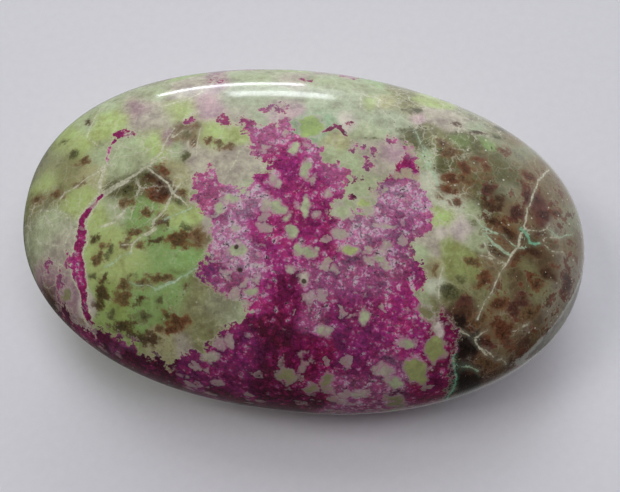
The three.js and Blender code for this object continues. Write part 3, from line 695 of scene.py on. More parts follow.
def ellipse_depth(plan, x, y, half_length, half_width, turn=0.0):
    """How far inside an ellipse each plan point lies in mm, negative outside."""
    c, s = math.cos(math.radians(turn)), math.sin(math.radians(turn))
    along = ((plan[:, 0] - x) * c + (plan[:, 1] - y) * s) / half_length
    across = ((plan[:, 1] - y) * c - (plan[:, 0] - x) * s) / half_width
    return (1 - np.hypot(along, across)) * math.sqrt(half_length * half_width)


def segment_offsets(plan, start, end):
    """From each plan point, the step to the nearest point of a segment, and how far along it that is."""
    start, end = np.array(start, dtype=float), np.array(end, dtype=float)
    run = end - start
    share = np.clip(((plan - start) @ run) / max(run @ run, 1e-9), 0, 1)
    return start + share[:, None] * run - plan, share


def outline_depth(plan, outline):
    """How far inside a closed outline each plan point lies in mm, negative outside."""
    nearest = np.full(len(plan), np.inf)
    inside = np.zeros(len(plan), dtype=bool)
    for start, end in zip(outline, outline[1:] + outline[:1]):
        offset, _ = segment_offsets(plan, start, end)
        nearest = np.minimum(nearest, np.hypot(offset[:, 0], offset[:, 1]))
        spans = (start[1] > plan[:, 1]) != (end[1] > plan[:, 1])
        if start[1] != end[1]:
            crossing = start[0] + (plan[:, 1] - start[1]) * (end[0] - start[0]) / (end[1] - start[1])
            inside ^= spans & (plan[:, 0] < crossing)
    return np.where(inside, nearest, -nearest)


def pool_blend(plan, pools, values):
    """A soft blend of pools, each strongest at its own place."""
    total = np.full((len(plan), 1), 1e-6)
    size = np.size(next(iter(values.values())))
    colours = np.zeros((len(plan), size))
    for x, y, reach, name in pools:
        distance = np.hypot(plan[:, 0] - x, plan[:, 1] - y) / reach
        weight = np.exp(-POOL_SHARPNESS * distance**2) + POOL_FAR_SHARE / (1 + distance**4)
        colours += weight[:, None] * np.array(values[name])
        total += weight[:, None]
    return colours / total


def patch_layer(plan, groups, values, far=-3.0):
    """The deepest patch at each plan point, as its depth in mm and the value of its kind."""
    depth = np.full(len(plan), far)
    size = np.size(next(iter(values.values())))
    colours = np.zeros((len(plan), size))
    for name, patches in groups.items():
        colour = np.array(values[name])
        for patch in patches:
            here = ellipse_depth(plan, *patch)
            better = here > depth
            depth[better] = here[better]
            colours[better] = colour
    return depth, colours


def vein_layer(plan):
    """For each plan point, the step to the nearest vein and its length, its half width and its colour."""
    edge = np.full(len(plan), -9.0)
    steps = np.zeros((len(plan), 3))
    steps[:, 2] = 9
    half_widths = np.full(len(plan), 0.1)
    colours = np.zeros((len(plan), 3))
    for name, first, last, points in VEINS:
        colour = np.array(linear(VEIN_COLOURS[name]))
        count = len(points) - 1
        for index in range(count):
            offset, share = segment_offsets(plan, points[index], points[index + 1])
            width = first + (last - first) * (index + share) / count
            length = np.hypot(offset[:, 0], offset[:, 1])
            better = width - length > edge
            edge[better] = (width - length)[better]
            steps[better, :2] = offset[better]
            steps[better, 2] = length[better]
            half_widths[better] = width[better]
            colours[better] = colour
    return steps, half_widths, colours


def stichtite_depth(plan):
    """How far inside the stichtite each plan point lies, counting the main body, the patches and the runs."""
    depth = outline_depth(plan, STICHTITE_OUTLINE)
    for x, y, half_length, half_width, turn, firmness in STICHTITE_PATCHES:
        here = ellipse_depth(plan, x, y, half_length, half_width, turn)
        depth = np.maximum(depth, np.minimum(here, firmness))
    for first, last, points in STICHTITE_RUNS:
        count = len(points) - 1
        for index in range(count):
            offset, share = segment_offsets(plan, points[index], points[index + 1])
            width = first + (last - first) * (index + share) / count
            depth = np.maximum(depth, RUN_FIRMNESS * (width - np.hypot(offset[:, 0], offset[:, 1])))
    return depth


def warped_plan(points, scale, reach, flank_reach=0.0):
    """The plan places of points in mm, nudged by smooth noise so that ovals look grown, most on the flank."""
    middle = (BOX_LOW + BOX_HIGH) / 2
    plan = (points[:, :2] - middle[:2]) / MM
    girdle = (BOX_HIGH[2] - BOX_LOW[2]) * GIRDLE_SHARE
    under = np.clip((BOX_LOW[2] + girdle - points[:, 2]) / girdle, 0, 1)[:, None]
    plan = plan * (1 - BELLY_SQUEEZE * under) + np.array(BELLY_SHIFT) * under
    flank = np.clip(1 - np.abs(points[:, 2] - BOX_LOW[2] - girdle) / FLANK_HEIGHT, 0, 1)[:, None]
    nudges = [noise.noise_vector(Vector(point) / (scale * MM))[:2] for point in points]
    return plan + (reach + flank_reach * flank) * np.array(nudges)


# --- The stone -------------------------------------------------------------------------------------


def cube_ball(name, cuts):
    """A cube cut fine, finer over its waist, and rounded to a ball. Leaves it selected in object mode."""
    bpy.ops.object.select_all(action="DESELECT")
    bpy.ops.mesh.primitive_cube_add(size=2, location=(0, 0, 0))
    ball = bpy.context.object
    ball.name = name
    bpy.ops.object.mode_set(mode="EDIT")
    bpy.ops.mesh.select_all(action="SELECT")
    bpy.ops.mesh.subdivide(number_cuts=cuts)
    bpy.ops.object.mode_set(mode="OBJECT")
    for polygon in ball.data.polygons:
        polygon.select = polygon.center.z > 0
    for edge in ball.data.edges:
        edge.select = False
    for vertex in ball.data.vertices:
        vertex.select = False
    for polygon in ball.data.polygons:
        if polygon.select:
            for index in polygon.vertices:
                ball.data.vertices[index].select = True
    bpy.ops.object.mode_set(mode="EDIT")
    bpy.ops.mesh.select_mode(type="FACE")
    bpy.ops.mesh.subdivide(number_cuts=1)
    bpy.ops.mesh.select_all(action="SELECT")
    bpy.ops.transform.tosphere(value=1)
    bpy.ops.object.mode_set(mode="OBJECT")
    return ball


def store(mesh, name, values):
    """Keeps one number, or one colour or vector, at each vertex of a mesh."""
    kind, field = ("FLOAT", "value") if values.ndim == 1 else ("FLOAT_VECTOR", "vector")
    attribute = mesh.attributes.new(name, kind, "POINT")
    attribute.data.foreach_set(field, np.ascontiguousarray(values, "f").ravel())


def lay_out_bake_map(mesh, spread, turn):
    """Unwraps the crown over the belly, each as an oval in its own half of the square."""
    corner_vertex = np.empty(len(mesh.loops), dtype=np.int32)
    mesh.loops.foreach_get("vertex_index", corner_vertex)
    crown = np.empty(len(mesh.loops), dtype=bool)
    for polygon in mesh.polygons:
        mean = spread[list(polygon.vertices)].mean()
        crown[polygon.loop_start : polygon.loop_start + polygon.loop_total] = mean < 1
    away = np.where(crown, spread[corner_vertex], 2 - spread[corner_vertex])
    u = 0.5 + 0.49 * away * np.cos(turn[corner_vertex])
    v = np.where(crown, 0.75, 0.25) + 0.24 * away * np.sin(turn[corner_vertex])
    uv_map = mesh.uv_layers.new(name="OFBake")
    uv_map.data.foreach_set("uv", np.stack([u, v], axis=1).astype("f").ravel())


def write_marks(mesh, points, shaved):
    """Keeps at each vertex what its place on the stone is made of."""
    noise.seed_set(NOISE_SEED)
    plan = warped_plan(points, 1.6, 0.22)
    wide_plan = warped_plan(points, 4.0, 0.9, flank_reach=4.0)
    grain_plan = warped_plan(points, 0.9, 0.4)
    ground = {name: linear(colour) for name, colour in GROUND.items()}
    tones = {name: linear(colour) for name, colour in STICHTITE.items()}
    store(mesh, "serpentine_tone", pool_blend(wide_plan, GROUND_POOLS, ground))
    store(mesh, "stichtite_tone", pool_blend(wide_plan, STICHTITE_POOLS, tones))
    store(mesh, "stichtite_richness", pool_blend(wide_plan, STICHTITE_POOLS, RICHNESS)[:, 0])
    stain_depth, stain_tone = patch_layer(grain_plan, STAINS, ground)
    clump_depth, clump_richness = patch_layer(grain_plan, MAGENTA_CLUMPS, RICHNESS)
    dark_depth, _ = patch_layer(grain_plan, {"plum": DARK_CLUMPS}, RICHNESS)
    island_depth, island_tone = patch_layer(grain_plan, ISLANDS, ground, far=-12.0)
    pit_depth, _ = patch_layer(plan, {"plum": [(x, y, r, r) for x, y, r in PITS]}, RICHNESS)
    store(mesh, "stain_tone", stain_tone)
    store(mesh, "clump_richness", clump_richness[:, 0])
    store(mesh, "island_tone", island_tone)
    store(mesh, "mineral_depths", np.stack([stichtite_depth(plan), clump_depth, dark_depth], axis=1))
    store(mesh, "patch_depths", np.stack([stain_depth, island_depth, pit_depth], axis=1))
    steps, half_widths, vein_tone = vein_layer(plan)
    store(mesh, "vein_step", steps)
    store(mesh, "vein_half_width", half_widths)
    store(mesh, "vein_tone", vein_tone)
    trace_pools = (VEINLET_POOLS, SPECK_POOLS, IRON_POOLS)
    traces = [pool_blend(wide_plan, pools, STRENGTH)[:, 0] for pools in trace_pools]
    store(mesh, "traces", np.stack(traces, axis=1))
    store(mesh, "ground_edge", np.clip(shaved / MM, -2, 2))


class STONE_OT_palm_stone(bpy.types.Operator):
    """Model the polished palm stone and dress it in its minerals"""

    bl_idname = "stone.palm_stone"
    bl_label = "Palm Stone"

    def execute(self, context):
        settings = context.scene.stone_settings
        stone = cube_ball("polished_palm_stone", settings.cuts)
        mesh = stone.data
        directions = np.empty(len(mesh.vertices) * 3)
        mesh.vertices.foreach_get("co", directions)
        points, shaved, spread, turn = stone_shape(directions.reshape(-1, 3), settings)
        mesh.vertices.foreach_set("co", points.astype("f").ravel())
        mesh.update()
        bpy.ops.object.shade_smooth()
        while mesh.uv_layers:
            mesh.uv_layers.remove(mesh.uv_layers[0])
        lay_out_bake_map(mesh, spread, turn)
        write_marks(mesh, points, shaved)
        mesh.materials.append(polished_atlantisite(settings))
        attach(stone, BODY)
        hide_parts(NODE)
        return {"FINISHED"}


# --- Materials -------------------------------------------------------------------------------------


def add(tree, kind, inputs, out=0, **settings):
    """Adds one node with its settings, fills or links its inputs, and gives one of its outputs."""
    node = tree.nodes.new(kind)
    for name, value in settings.items():
        setattr(node, name, value)
    for key, value in inputs.items():
        if isinstance(value, bpy.types.NodeSocket):
            tree.links.new(value, node.inputs[key])
        else:
            node.inputs[key].default_value = value
    return node.outputs[out]


# Sockets by number. Map range: 0 value, 1 and 2 the range it comes from, 3 and 4 the range it goes to.
# Mix: 0 share, 2 and 3 two numbers, 6 and 7 two colours. Maths: the terms in order.
SMOOTH = {"interpolation_type": "SMOOTHSTEP"}
SMOOTHER = {"interpolation_type": "SMOOTHERSTEP"}
OF_COLOURS = {"out": 2, "data_type": "RGBA"}

LUMP = 1.15  # size in mm of the lumps that the grains of stichtite gather in


def stone_noises(tree, settings):
    """The textures that the layers share, all on real millimetres: noise from large to fine, and grains."""
    place = add(tree, "ShaderNodeTexCoord", {}, out="Object")
    mm = add(tree, "ShaderNodeVectorMath", {0: place, "Scale": 1 / MM}, operation="SCALE")
    noises = {"mm": mm}
    for name, size, detail, roughness in [
        ("cloud", 2.2, 3.0, 0.6),
        ("blot", 0.95, 3.0, 0.6),
        ("mottle", 0.5, 3.0, 0.65),
        ("sugar", 0.24, 2.0, 0.6),
    ]:
        inputs = {"Vector": mm, "Scale": 1 / size, "Detail": detail, "Roughness": roughness}
        fac = add(tree, "ShaderNodeTexNoise", inputs, out="Fac")
        noises[name] = add(tree, "ShaderNodeMath", {0: fac, 1: 0.5}, operation="SUBTRACT")
    swirl = add(tree, "ShaderNodeTexNoise", {"Vector": mm, "Scale": 1.6, "Detail": 2.0}, out="Color")
    noises["swirl"] = add(tree, "ShaderNodeVectorMath", {0: swirl, 1: (0.5,) * 3}, operation="SUBTRACT")
    inputs = {0: noises["swirl"], 1: (0.8,) * 3, 2: mm}
    ragged = add(tree, "ShaderNodeVectorMath", inputs, operation="MULTIPLY_ADD")
    noises["ragged"] = ragged
    lumps = {"Vector": ragged, "Scale": 1 / LUMP}
    edge = add(tree, "ShaderNodeTexVoronoi", lumps, out="Distance", feature="DISTANCE_TO_EDGE")
    noises["lump edge"] = add(tree, "ShaderNodeMath", {0: edge, 1: LUMP}, operation="MULTIPLY")
    chance = add(tree, "ShaderNodeSeparateColor", {0: add(tree, "ShaderNodeTexVoronoi", lumps, out="Color")})
    noises["lump luck"] = add(tree, "ShaderNodeMath", {0: chance, 1: 0.5}, operation="SUBTRACT")
    grains = add(tree, "ShaderNodeTexVoronoi", {"Vector": ragged, "Scale": MM / settings.grain}, out="Color")
    dice = add(tree, "ShaderNodeSeparateColor", {0: grains}).node
    for name, output in zip(("luck", "hue luck", "shade luck"), dice.outputs):
        noises[name] = add(tree, "ShaderNodeMath", {0: output, 1: 0.5}, operation="SUBTRACT")
    return noises


def blend_of(tree, noises, start, shares):
    """A value plus a share of each named noise."""
    total = start
    for name, share in shares.items():
        total = add(tree, "ShaderNodeMath", {0: noises[name], 1: share, 2: total}, operation="MULTIPLY_ADD")
    return total


def serpentine_layer(tree, noises, veinlets, iron):
    """Serpentine by place: cloudy apple green to olive, rusted here and there and netted by veinlets.

    Also gives its brightness, which the islands share.
    """
    tone = add(tree, "ShaderNodeAttribute", {}, out="Color", attribute_name="serpentine_tone")
    value = blend_of(tree, noises, 1.06, {"cloud": 1.2, "blot": 0.9, "mottle": 0.6, "sugar": 0.3})
    hue = blend_of(tree, noises, 0.5, {"cloud": 0.09, "blot": 0.06})
    colour = add(tree, "ShaderNodeHueSaturation", {"Hue": hue, "Value": value, "Color": tone})
    milk = blend_of(tree, noises, 0.0, {"blot": 1.0, "mottle": 0.9})
    milk = add(tree, "ShaderNodeMapRange", {0: milk, 1: 0.05, 2: 0.3, 3: 0.0, 4: 0.24}, **SMOOTH)
    colour = add(tree, "ShaderNodeMix", {0: milk, 6: colour, 7: (*linear("c3c49c"), 1)}, **OF_COLOURS)
    rust = blend_of(tree, noises, 0.0, {"cloud": 1.7, "blot": 1.3, "mottle": 0.9})
    rust = add(tree, "ShaderNodeMapRange", {0: rust, 1: 0.0, 2: 0.26, 3: 0.0, 4: 0.95}, **SMOOTH)
    rust = add(tree, "ShaderNodeMath", {0: rust, 1: iron}, operation="MULTIPLY")
    redness = blend_of(tree, noises, 0.5, {"cloud": -2.0, "blot": 1.5, "hue luck": 0.3})
    inputs = {0: redness, 6: (*linear("4a2d1f"), 1), 7: (*linear("723a28"), 1)}
    rust_tone = add(tree, "ShaderNodeMix", inputs, **OF_COLOURS)
    rust_tone = add(tree, "ShaderNodeHueSaturation", {"Value": value, "Color": rust_tone})
    colour = add(tree, "ShaderNodeMix", {0: rust, 6: colour, 7: rust_tone}, **OF_COLOURS)
    wear_and_sheen = add(tree, "ShaderNodeMapRange", {0: noises["cloud"], 1: -0.1, 2: 0.1, 3: 0.15, 4: 1.0})
    showing = add(tree, "ShaderNodeMath", {0: veinlets, 1: wear_and_sheen}, operation="MULTIPLY")
    for size, width, strength in [(2.3, 0.1, 0.8), (0.95, 0.07, 0.5)]:
        inputs = {"Vector": noises["ragged"], "Scale": 1 / size}
        edge = add(tree, "ShaderNodeTexVoronoi", inputs, out="Distance", feature="DISTANCE_TO_EDGE")
        line = add(tree, "ShaderNodeMapRange", {0: edge, 1: 0.0, 2: width / size, 3: strength, 4: 0.0})
        line = add(tree, "ShaderNodeMath", {0: line, 1: showing}, operation="MULTIPLY")
        colour = add(tree, "ShaderNodeMix", {0: line, 6: colour, 7: (*linear("d6d2ba"), 1)}, **OF_COLOURS)
    return colour, value


def stain_layer(tree, noises, colour, depth):
    """Iron stains: brown to black spots, soft at the edge and speckled inside."""
    reach = blend_of(tree, noises, depth, {"cloud": 0.6, "blot": 1.7, "mottle": 1.6, "sugar": 0.6})
    stain = add(tree, "ShaderNodeMapRange", {0: reach, 1: -0.6, 2: 0.3, 3: 0.0, 4: 0.92}, **SMOOTHER)
    tone = add(tree, "ShaderNodeAttribute", {}, out="Color", attribute_name="stain_tone")
    core = add(tree, "ShaderNodeMapRange", {0: reach, 1: -0.3, 2: 0.45, 3: 1.2, 4: 0.55})
    value = blend_of(tree, noises, core, {"mottle": 1.2, "sugar": 2.0, "shade luck": 0.25})
    tone = add(tree, "ShaderNodeHueSaturation", {"Value": value, "Color": tone})
    return add(tree, "ShaderNodeMix", {0: stain, 6: colour, 7: tone}, **OF_COLOURS)


def vein_paint(tree, noises, colour):
    """Pale veins. The step to the nearest is read as a vector, so that a hair-thin vein stays unbroken."""
    step = add(tree, "ShaderNodeAttribute", {}, out="Vector", attribute_name="vein_step")
    axes = add(tree, "ShaderNodeSeparateXYZ", {0: step}, out=2)
    inputs = {0: noises["swirl"], 1: (0.25,) * 3, 2: step}
    wavy = add(tree, "ShaderNodeVectorMath", inputs, operation="MULTIPLY_ADD")
    level = add(tree, "ShaderNodeVectorMath", {0: wavy, 1: (1, 1, 0)}, operation="MULTIPLY")
    near = add(tree, "ShaderNodeVectorMath", {0: level}, out="Value", operation="LENGTH")
    far = add(tree, "ShaderNodeMath", {0: axes, 1: 0.25}, operation="SUBTRACT")
    distance = add(tree, "ShaderNodeMath", {0: near, 1: far}, operation="MAXIMUM")
    half_width = add(tree, "ShaderNodeAttribute", {}, out="Fac", attribute_name="vein_half_width")
    inside = add(tree, "ShaderNodeMath", {0: half_width, 1: distance}, operation="SUBTRACT")
    inside = blend_of(tree, noises, inside, {"blot": 0.4, "mottle": 0.2, "sugar": 0.08})
    strength = add(tree, "ShaderNodeMapRange", {0: noises["cloud"], 1: -0.2, 2: 0.1, 3: 0.5, 4: 0.88})
    vein = add(tree, "ShaderNodeMapRange", {0: inside, 1: -0.07, 2: 0.06, 3: 0.0, 4: strength}, **SMOOTH)
    milk = add(tree, "ShaderNodeMapRange", {0: inside, 1: -0.4, 2: 0.0, 3: 0.0, 4: 0.16})
    vein = add(tree, "ShaderNodeMath", {0: vein, 1: milk}, operation="MAXIMUM")
    tone = add(tree, "ShaderNodeAttribute", {}, out="Color", attribute_name="vein_tone")
    value = blend_of(tree, noises, 0.97, {"mottle": 0.8, "sugar": 1.2})
    tone = add(tree, "ShaderNodeHueSaturation", {"Value": value, "Color": tone})
    return add(tree, "ShaderNodeMix", {0: vein, 6: colour, 7: tone}, **OF_COLOURS)


def speck_layer(tree, noises, colour, strength):
    """White and dark specks, up to 0.3 mm across and soft edged, so none is too fine to show."""
    for size, hex_colour in [(0.7, "d9d6c4"), (0.6, "3a3624")]:
        speck = add(tree, "ShaderNodeTexVoronoi", {"Vector": noises["mm"], "Scale": 1 / size}, out="Distance")
        chance = add(tree, "ShaderNodeSeparateColor", {0: speck.node.outputs["Color"]})
        radius = add(tree, "ShaderNodeMapRange", {0: chance, 1: 0.35, 2: 1.0, 3: 0.0, 4: 0.15 / size})
        spot = add(tree, "ShaderNodeMath", {0: radius, 1: speck}, operation="SUBTRACT")
        spot = add(tree, "ShaderNodeMapRange", {0: spot, 1: 0.0, 2: 0.07, 3: 0.0, 4: 0.8})
        spot = add(tree, "ShaderNodeMath", {0: spot, 1: strength}, operation="MULTIPLY")
        colour = add(tree, "ShaderNodeMix", {0: spot, 6: colour, 7: (*linear(hex_colour), 1)}, **OF_COLOURS)
    return colour


# Stichtite from its poorest, mixed with pale serpentine, to its richest: place on the ramp and colour.
STICHTITE_RAMP = [
    (0.0, "b9b29c"),
    (0.15, "c2aaa8"),
    (0.3, "c88aa8"),
    (0.44, "be4c88"),
    (0.62, "a1235f"),
    (0.8, "701a40"),
    (1.0, "38121f"),
]


def stichtite_layer(tree, noises, colour):
    """Stichtite: sugary crystals that run from milky pink to deep magenta and black plum.

    Also gives its poorness, which is how readily loose lumps of serpentine stand in it.
    """
    depths = add(tree, "ShaderNodeAttribute", {}, out="Vector", attribute_name="mineral_depths")
    body_depth, clump_depth, dark_depth = add(tree, "ShaderNodeSeparateXYZ", {0: depths}).node.outputs
    reach = blend_of(tree, noises, body_depth, {"blot": 2.6, "mottle": 1.9, "sugar": 0.5, "luck": 0.2})
    body = add(tree, "ShaderNodeMapRange", {0: reach, 1: -0.12, 2: 0.16, 3: 0.0, 4: 1.0}, **SMOOTH)
    edge = add(tree, "ShaderNodeMapRange", {0: reach, 1: -0.4, 2: -0.1, 3: 0.0, 4: 0.35}, **SMOOTH)
    colour = add(tree, "ShaderNodeMix", {0: edge, 6: colour, 7: (*linear("cfc6aa"), 1)}, **OF_COLOURS)

    pool_richness = add(tree, "ShaderNodeAttribute", {}, out="Fac", attribute_name="stichtite_richness")
    clump_reach = blend_of(tree, noises, clump_depth, {"mottle": 1.2, "sugar": 0.8, "luck": 0.2})
    clump = add(tree, "ShaderNodeMapRange", {0: clump_reach, 1: -0.3, 2: 0.3, 3: 0.0, 4: 1.0}, **SMOOTH)
    clump_richness = add(tree, "ShaderNodeAttribute", {}, out="Fac", attribute_name="clump_richness")
    richness = add(tree, "ShaderNodeMix", {0: clump, 2: pool_richness, 3: clump_richness})
    poorness = add(tree, "ShaderNodeMath", {0: 0.63, 1: richness}, operation="SUBTRACT")
    poorness = add(tree, "ShaderNodeMath", {0: poorness, 1: body_depth}, operation="MINIMUM")
    dark_reach = blend_of(tree, noises, dark_depth, {"mottle": 1.2, "sugar": 0.8})
    dark = add(tree, "ShaderNodeMapRange", {0: dark_reach, 1: -0.25, 2: 0.25, 3: 0.0, 4: 1.0}, **SMOOTH)
    richness = add(tree, "ShaderNodeMix", {0: dark, 2: richness, 3: 0.98})
    shares = {"blot": 1.7, "mottle": 1.9, "sugar": 0.9, "shade luck": 0.12, "lump luck": 0.16}
    richness = blend_of(tree, noises, richness, shares)
    grain_gap = add(tree, "ShaderNodeMapRange", {0: noises["lump edge"], 1: 0.0, 2: 0.18, 3: 0.18, 4: 0.0})
    richness = add(tree, "ShaderNodeMath", {0: richness, 1: grain_gap})
    inner = add(tree, "ShaderNodeMapRange", {0: reach, 1: 0.0, 2: 0.7, 3: 0.0, 4: 0.2})
    richness = add(tree, "ShaderNodeMath", {0: richness, 1: inner}, operation="MAXIMUM")
    ramp = add(tree, "ShaderNodeValToRGB", {0: richness}).node
    stops = ramp.color_ramp.elements
    while len(stops) > 1:
        stops.remove(stops[-1])
    stops[0].position = STICHTITE_RAMP[0][0]
    stops[0].color = (*linear(STICHTITE_RAMP[0][1]), 1)
    for position, hex_colour in STICHTITE_RAMP[1:]:
        stops.new(position).color = (*linear(hex_colour), 1)
    tone = add(tree, "ShaderNodeAttribute", {}, out="Color", attribute_name="stichtite_tone")
    stichtite = add(tree, "ShaderNodeMix", {0: 0.4, 6: ramp.outputs[0], 7: tone}, **OF_COLOURS)
    value = blend_of(tree, noises, 1.02, {"blot": 0.8, "mottle": 2.2, "sugar": 2.8, "shade luck": 0.45})
    hue = blend_of(tree, noises, 0.5, {"cloud": 0.06, "hue luck": 0.018})
    stichtite = add(tree, "ShaderNodeHueSaturation", {"Hue": hue, "Value": value, "Color": stichtite})
    frost = add(tree, "ShaderNodeMath", {0: 0.56, 1: richness}, operation="SUBTRACT")
    frost = blend_of(tree, noises, frost, {"mottle": 0.8, "sugar": 1.5})
    frost = add(tree, "ShaderNodeMapRange", {0: frost, 1: 0.12, 2: 0.42, 3: 0.0, 4: 0.55})
    inputs = {0: frost, 6: stichtite, 7: (*linear("e3cfd9"), 1)}
    stichtite = add(tree, "ShaderNodeMix", inputs, **OF_COLOURS)
    return add(tree, "ShaderNodeMix", {0: body, 6: colour, 7: stichtite}, **OF_COLOURS), poorness


def island_layer(tree, noises, colour, depth, poorness, value):
    """Serpentine islands, large ones by place and small loose lumps, pale where they meet the stichtite."""
    inset = add(tree, "ShaderNodeMapRange", {0: noises["lump luck"], 1: 0.2, 2: 0.5, 3: 0.9, 4: 0.1})
    loose = add(tree, "ShaderNodeMath", {0: noises["lump edge"], 1: inset}, operation="SUBTRACT")
    loose = add(tree, "ShaderNodeMath", {0: loose, 1: poorness}, operation="MINIMUM")
    loose = blend_of(tree, noises, loose, {"mottle": 0.7, "sugar": 0.2})
    loose = add(tree, "ShaderNodeMath", {0: loose, 1: 0.02}, operation="MINIMUM")
    reach = blend_of(tree, noises, depth, {"blot": 1.1, "mottle": 0.6, "sugar": 0.2, "luck": 0.2})
    reach = add(tree, "ShaderNodeMath", {0: reach, 1: loose}, operation="MAXIMUM")
    rim = add(tree, "ShaderNodeMapRange", {0: reach, 1: -0.35, 2: -0.05, 3: 0.0, 4: 0.45}, **SMOOTH)
    colour = add(tree, "ShaderNodeMix", {0: rim, 6: colour, 7: (*linear("cbb8b4"), 1)}, **OF_COLOURS)
    island = add(tree, "ShaderNodeMapRange", {0: reach, 1: -0.15, 2: 0.25, 3: 0.0, 4: 0.92}, **SMOOTH)
    tone = add(tree, "ShaderNodeAttribute", {}, out="Color", attribute_name="island_tone")
    tone = add(tree, "ShaderNodeHueSaturation", {"Value": value, "Color": tone})
    return add(tree, "ShaderNodeMix", {0: island, 6: colour, 7: tone}, **OF_COLOURS)


def polished_atlantisite(settings):
    """Polished stichtite in serpentine: close grained, waxy to glassy, with a refractive index near 1.56."""
    material = bpy.data.materials.new("polished_atlantisite")
    material.use_nodes = True
    tree = material.node_tree
    tree.nodes.clear()
    noises = stone_noises(tree, settings)
    depths = add(tree, "ShaderNodeAttribute", {}, out="Vector", attribute_name="patch_depths")
    stain_depth, island_depth, pit_depth = add(tree, "ShaderNodeSeparateXYZ", {0: depths}).node.outputs
    traces = add(tree, "ShaderNodeAttribute", {}, out="Vector", attribute_name="traces")
    veinlets, white_specks, iron = add(tree, "ShaderNodeSeparateXYZ", {0: traces}).node.outputs
    colour, value = serpentine_layer(tree, noises, veinlets, iron)
    colour = stain_layer(tree, noises, colour, stain_depth)
    colour = vein_paint(tree, noises, colour)
    colour, poorness = stichtite_layer(tree, noises, colour)
    colour = speck_layer(tree, noises, colour, white_specks)
    colour = island_layer(tree, noises, colour, island_depth, poorness, value)
    pit = add(tree, "ShaderNodeMapRange", {0: pit_depth, 1: -0.05, 2: 0.1, 3: 0.0, 4: 0.9}, **SMOOTH)
    colour = add(tree, "ShaderNodeMix", {0: pit, 6: colour, 7: (*linear("3a2a22"), 1)}, **OF_COLOURS)

    # The slice at one end is ground but only half polished: it looks chalky, and a pale line along its rim is a
    # painted highlight where the crease catches the light.
    past_rim = add(tree, "ShaderNodeAttribute", {}, out="Fac", attribute_name="ground_edge")
    past_rim = blend_of(tree, noises, past_rim, {"blot": 0.15})
    ground = add(tree, "ShaderNodeMapRange", {0: past_rim, 1: 0.0, 2: 0.12, 3: 0.0, 4: 1.0})
    chalk = add(tree, "ShaderNodeMath", {0: ground, 1: 0.28}, operation="MULTIPLY")
    colour = add(tree, "ShaderNodeMix", {0: chalk, 6: colour, 7: (*linear("87908a"), 1)}, **OF_COLOURS)
    off_rim = add(tree, "ShaderNodeMath", {0: past_rim}, operation="ABSOLUTE")
    off_rim = blend_of(tree, noises, off_rim, {"cloud": 0.35, "mottle": 0.3})
    # Painted highlight: a pale line along the crease where the slice meets the polished face.
    wear_and_sheen = add(tree, "ShaderNodeMapRange", {0: off_rim, 1: 0.02, 2: 0.12, 3: 0.6, 4: 0.0}, **SMOOTH)
    colour = add(tree, "ShaderNodeMix", {0: wear_and_sheen, 6: colour, 7: (*linear("c9cbbd"), 1)}, **OF_COLOURS)
    polish = blend_of(tree, noises, settings.polish, {"mottle": 0.1})
    roughness = add(tree, "ShaderNodeMix", {0: ground, 2: polish, 3: settings.ground_edge})

    relief = blend_of(tree, noises, 0.5, {"blot": 1.0, "mottle": 0.5})
    bump = add(tree, "ShaderNodeBump", {"Strength": 0.1, "Distance": 0.02 * MM, "Height": relief})
    surface = add(
        tree,
        "ShaderNodeBsdfPrincipled",
        {"Base Color": colour, "Roughness": roughness, "IOR": 1.57, "Normal": bump},
    )
    output = tree.nodes.new("ShaderNodeOutputMaterial")
    tree.links.new(surface, output.inputs["Surface"])
    return material


def matte_paper(settings):
    """Uncoated drawing paper: matte and pale, with a tooth too fine to see but for a faint unevenness."""
    material = bpy.data.materials.new("matte_paper")
    material.use_nodes = True
    tree = material.node_tree
    tree.nodes.clear()
    place = add(tree, "ShaderNodeTexCoord", {}, out="Object")
    tooth = add(tree, "ShaderNodeTexNoise", {"Vector": place, "Scale": 900.0, "Detail": 3.0}, out="Fac")
    shade = add(tree, "ShaderNodeMapRange", {0: tooth, 1: 0.3, 2: 0.7, 3: 0.985, 4: 1.015})
    colour = add(tree, "ShaderNodeHueSaturation", {"Value": shade, "Color": (*settings.paper, 1)})
    bump = add(tree, "ShaderNodeBump", {"Strength": 0.1, "Distance": 0.05 * MM, "Height": tooth})
    surface = add(tree, "ShaderNodeBsdfPrincipled", {"Base Color": colour, "Roughness": 0.85, "Normal": bump})
    output = tree.nodes.new("ShaderNodeOutputMaterial")
    tree.links.new(surface, output.inputs["Surface"])
    return material


# --- The stage -------------------------------------------------------------------------------------

# Soft boxes round the stone: name, turn from straight behind towards the right and height over the floor in
# degrees, distance, width and depth in metres, radiance, colour and whether polished faces mirror it.
SOFT_BOXES = [
    ("window_foot", -16, 3.2, 1.5, 0.62, 0.1, 9.0, "f2f6ff", True),
    ("window_middle", -8, 16.5, 1.5, 0.4, 0.15, 7.0, "f2f6ff", True),
    ("window_veil", -12, 10, 1.5, 0.72, 0.22, 1.4, "f2f6ff", True),
    ("window_glow", -20, 58, 1.5, 0.7, 0.5, 4.0, "f2f6ff", False),
    ("overhead_fill", 0, 80, 1.8, 1.0, 1.0, 1.9, "fdfcff", False),
    ("left_key", -96, 55, 1.6, 0.5, 0.42, 8.3, "fbfaf6", False),
    ("right_fill", 84, 68, 1.6, 0.5, 0.5, 4.1, "f4f1ff", False),
]

# The pale room: each glow's turn and height, its half width in degrees, its strength and its colour.
ROOM_GLOWS = [
    (-10, 24, 34, 0.9, "f6f8ff"),
    (28, -22, 78, 0.75, "eef0f2"),
]


def direction(turn, height):
    """The unit vector from the stone at a turn from straight behind, towards the right, and a height."""
    a, e = math.radians(turn), math.radians(height)
    return Vector((math.sin(a) * math.cos(e), math.cos(a) * math.cos(e), math.sin(e)))


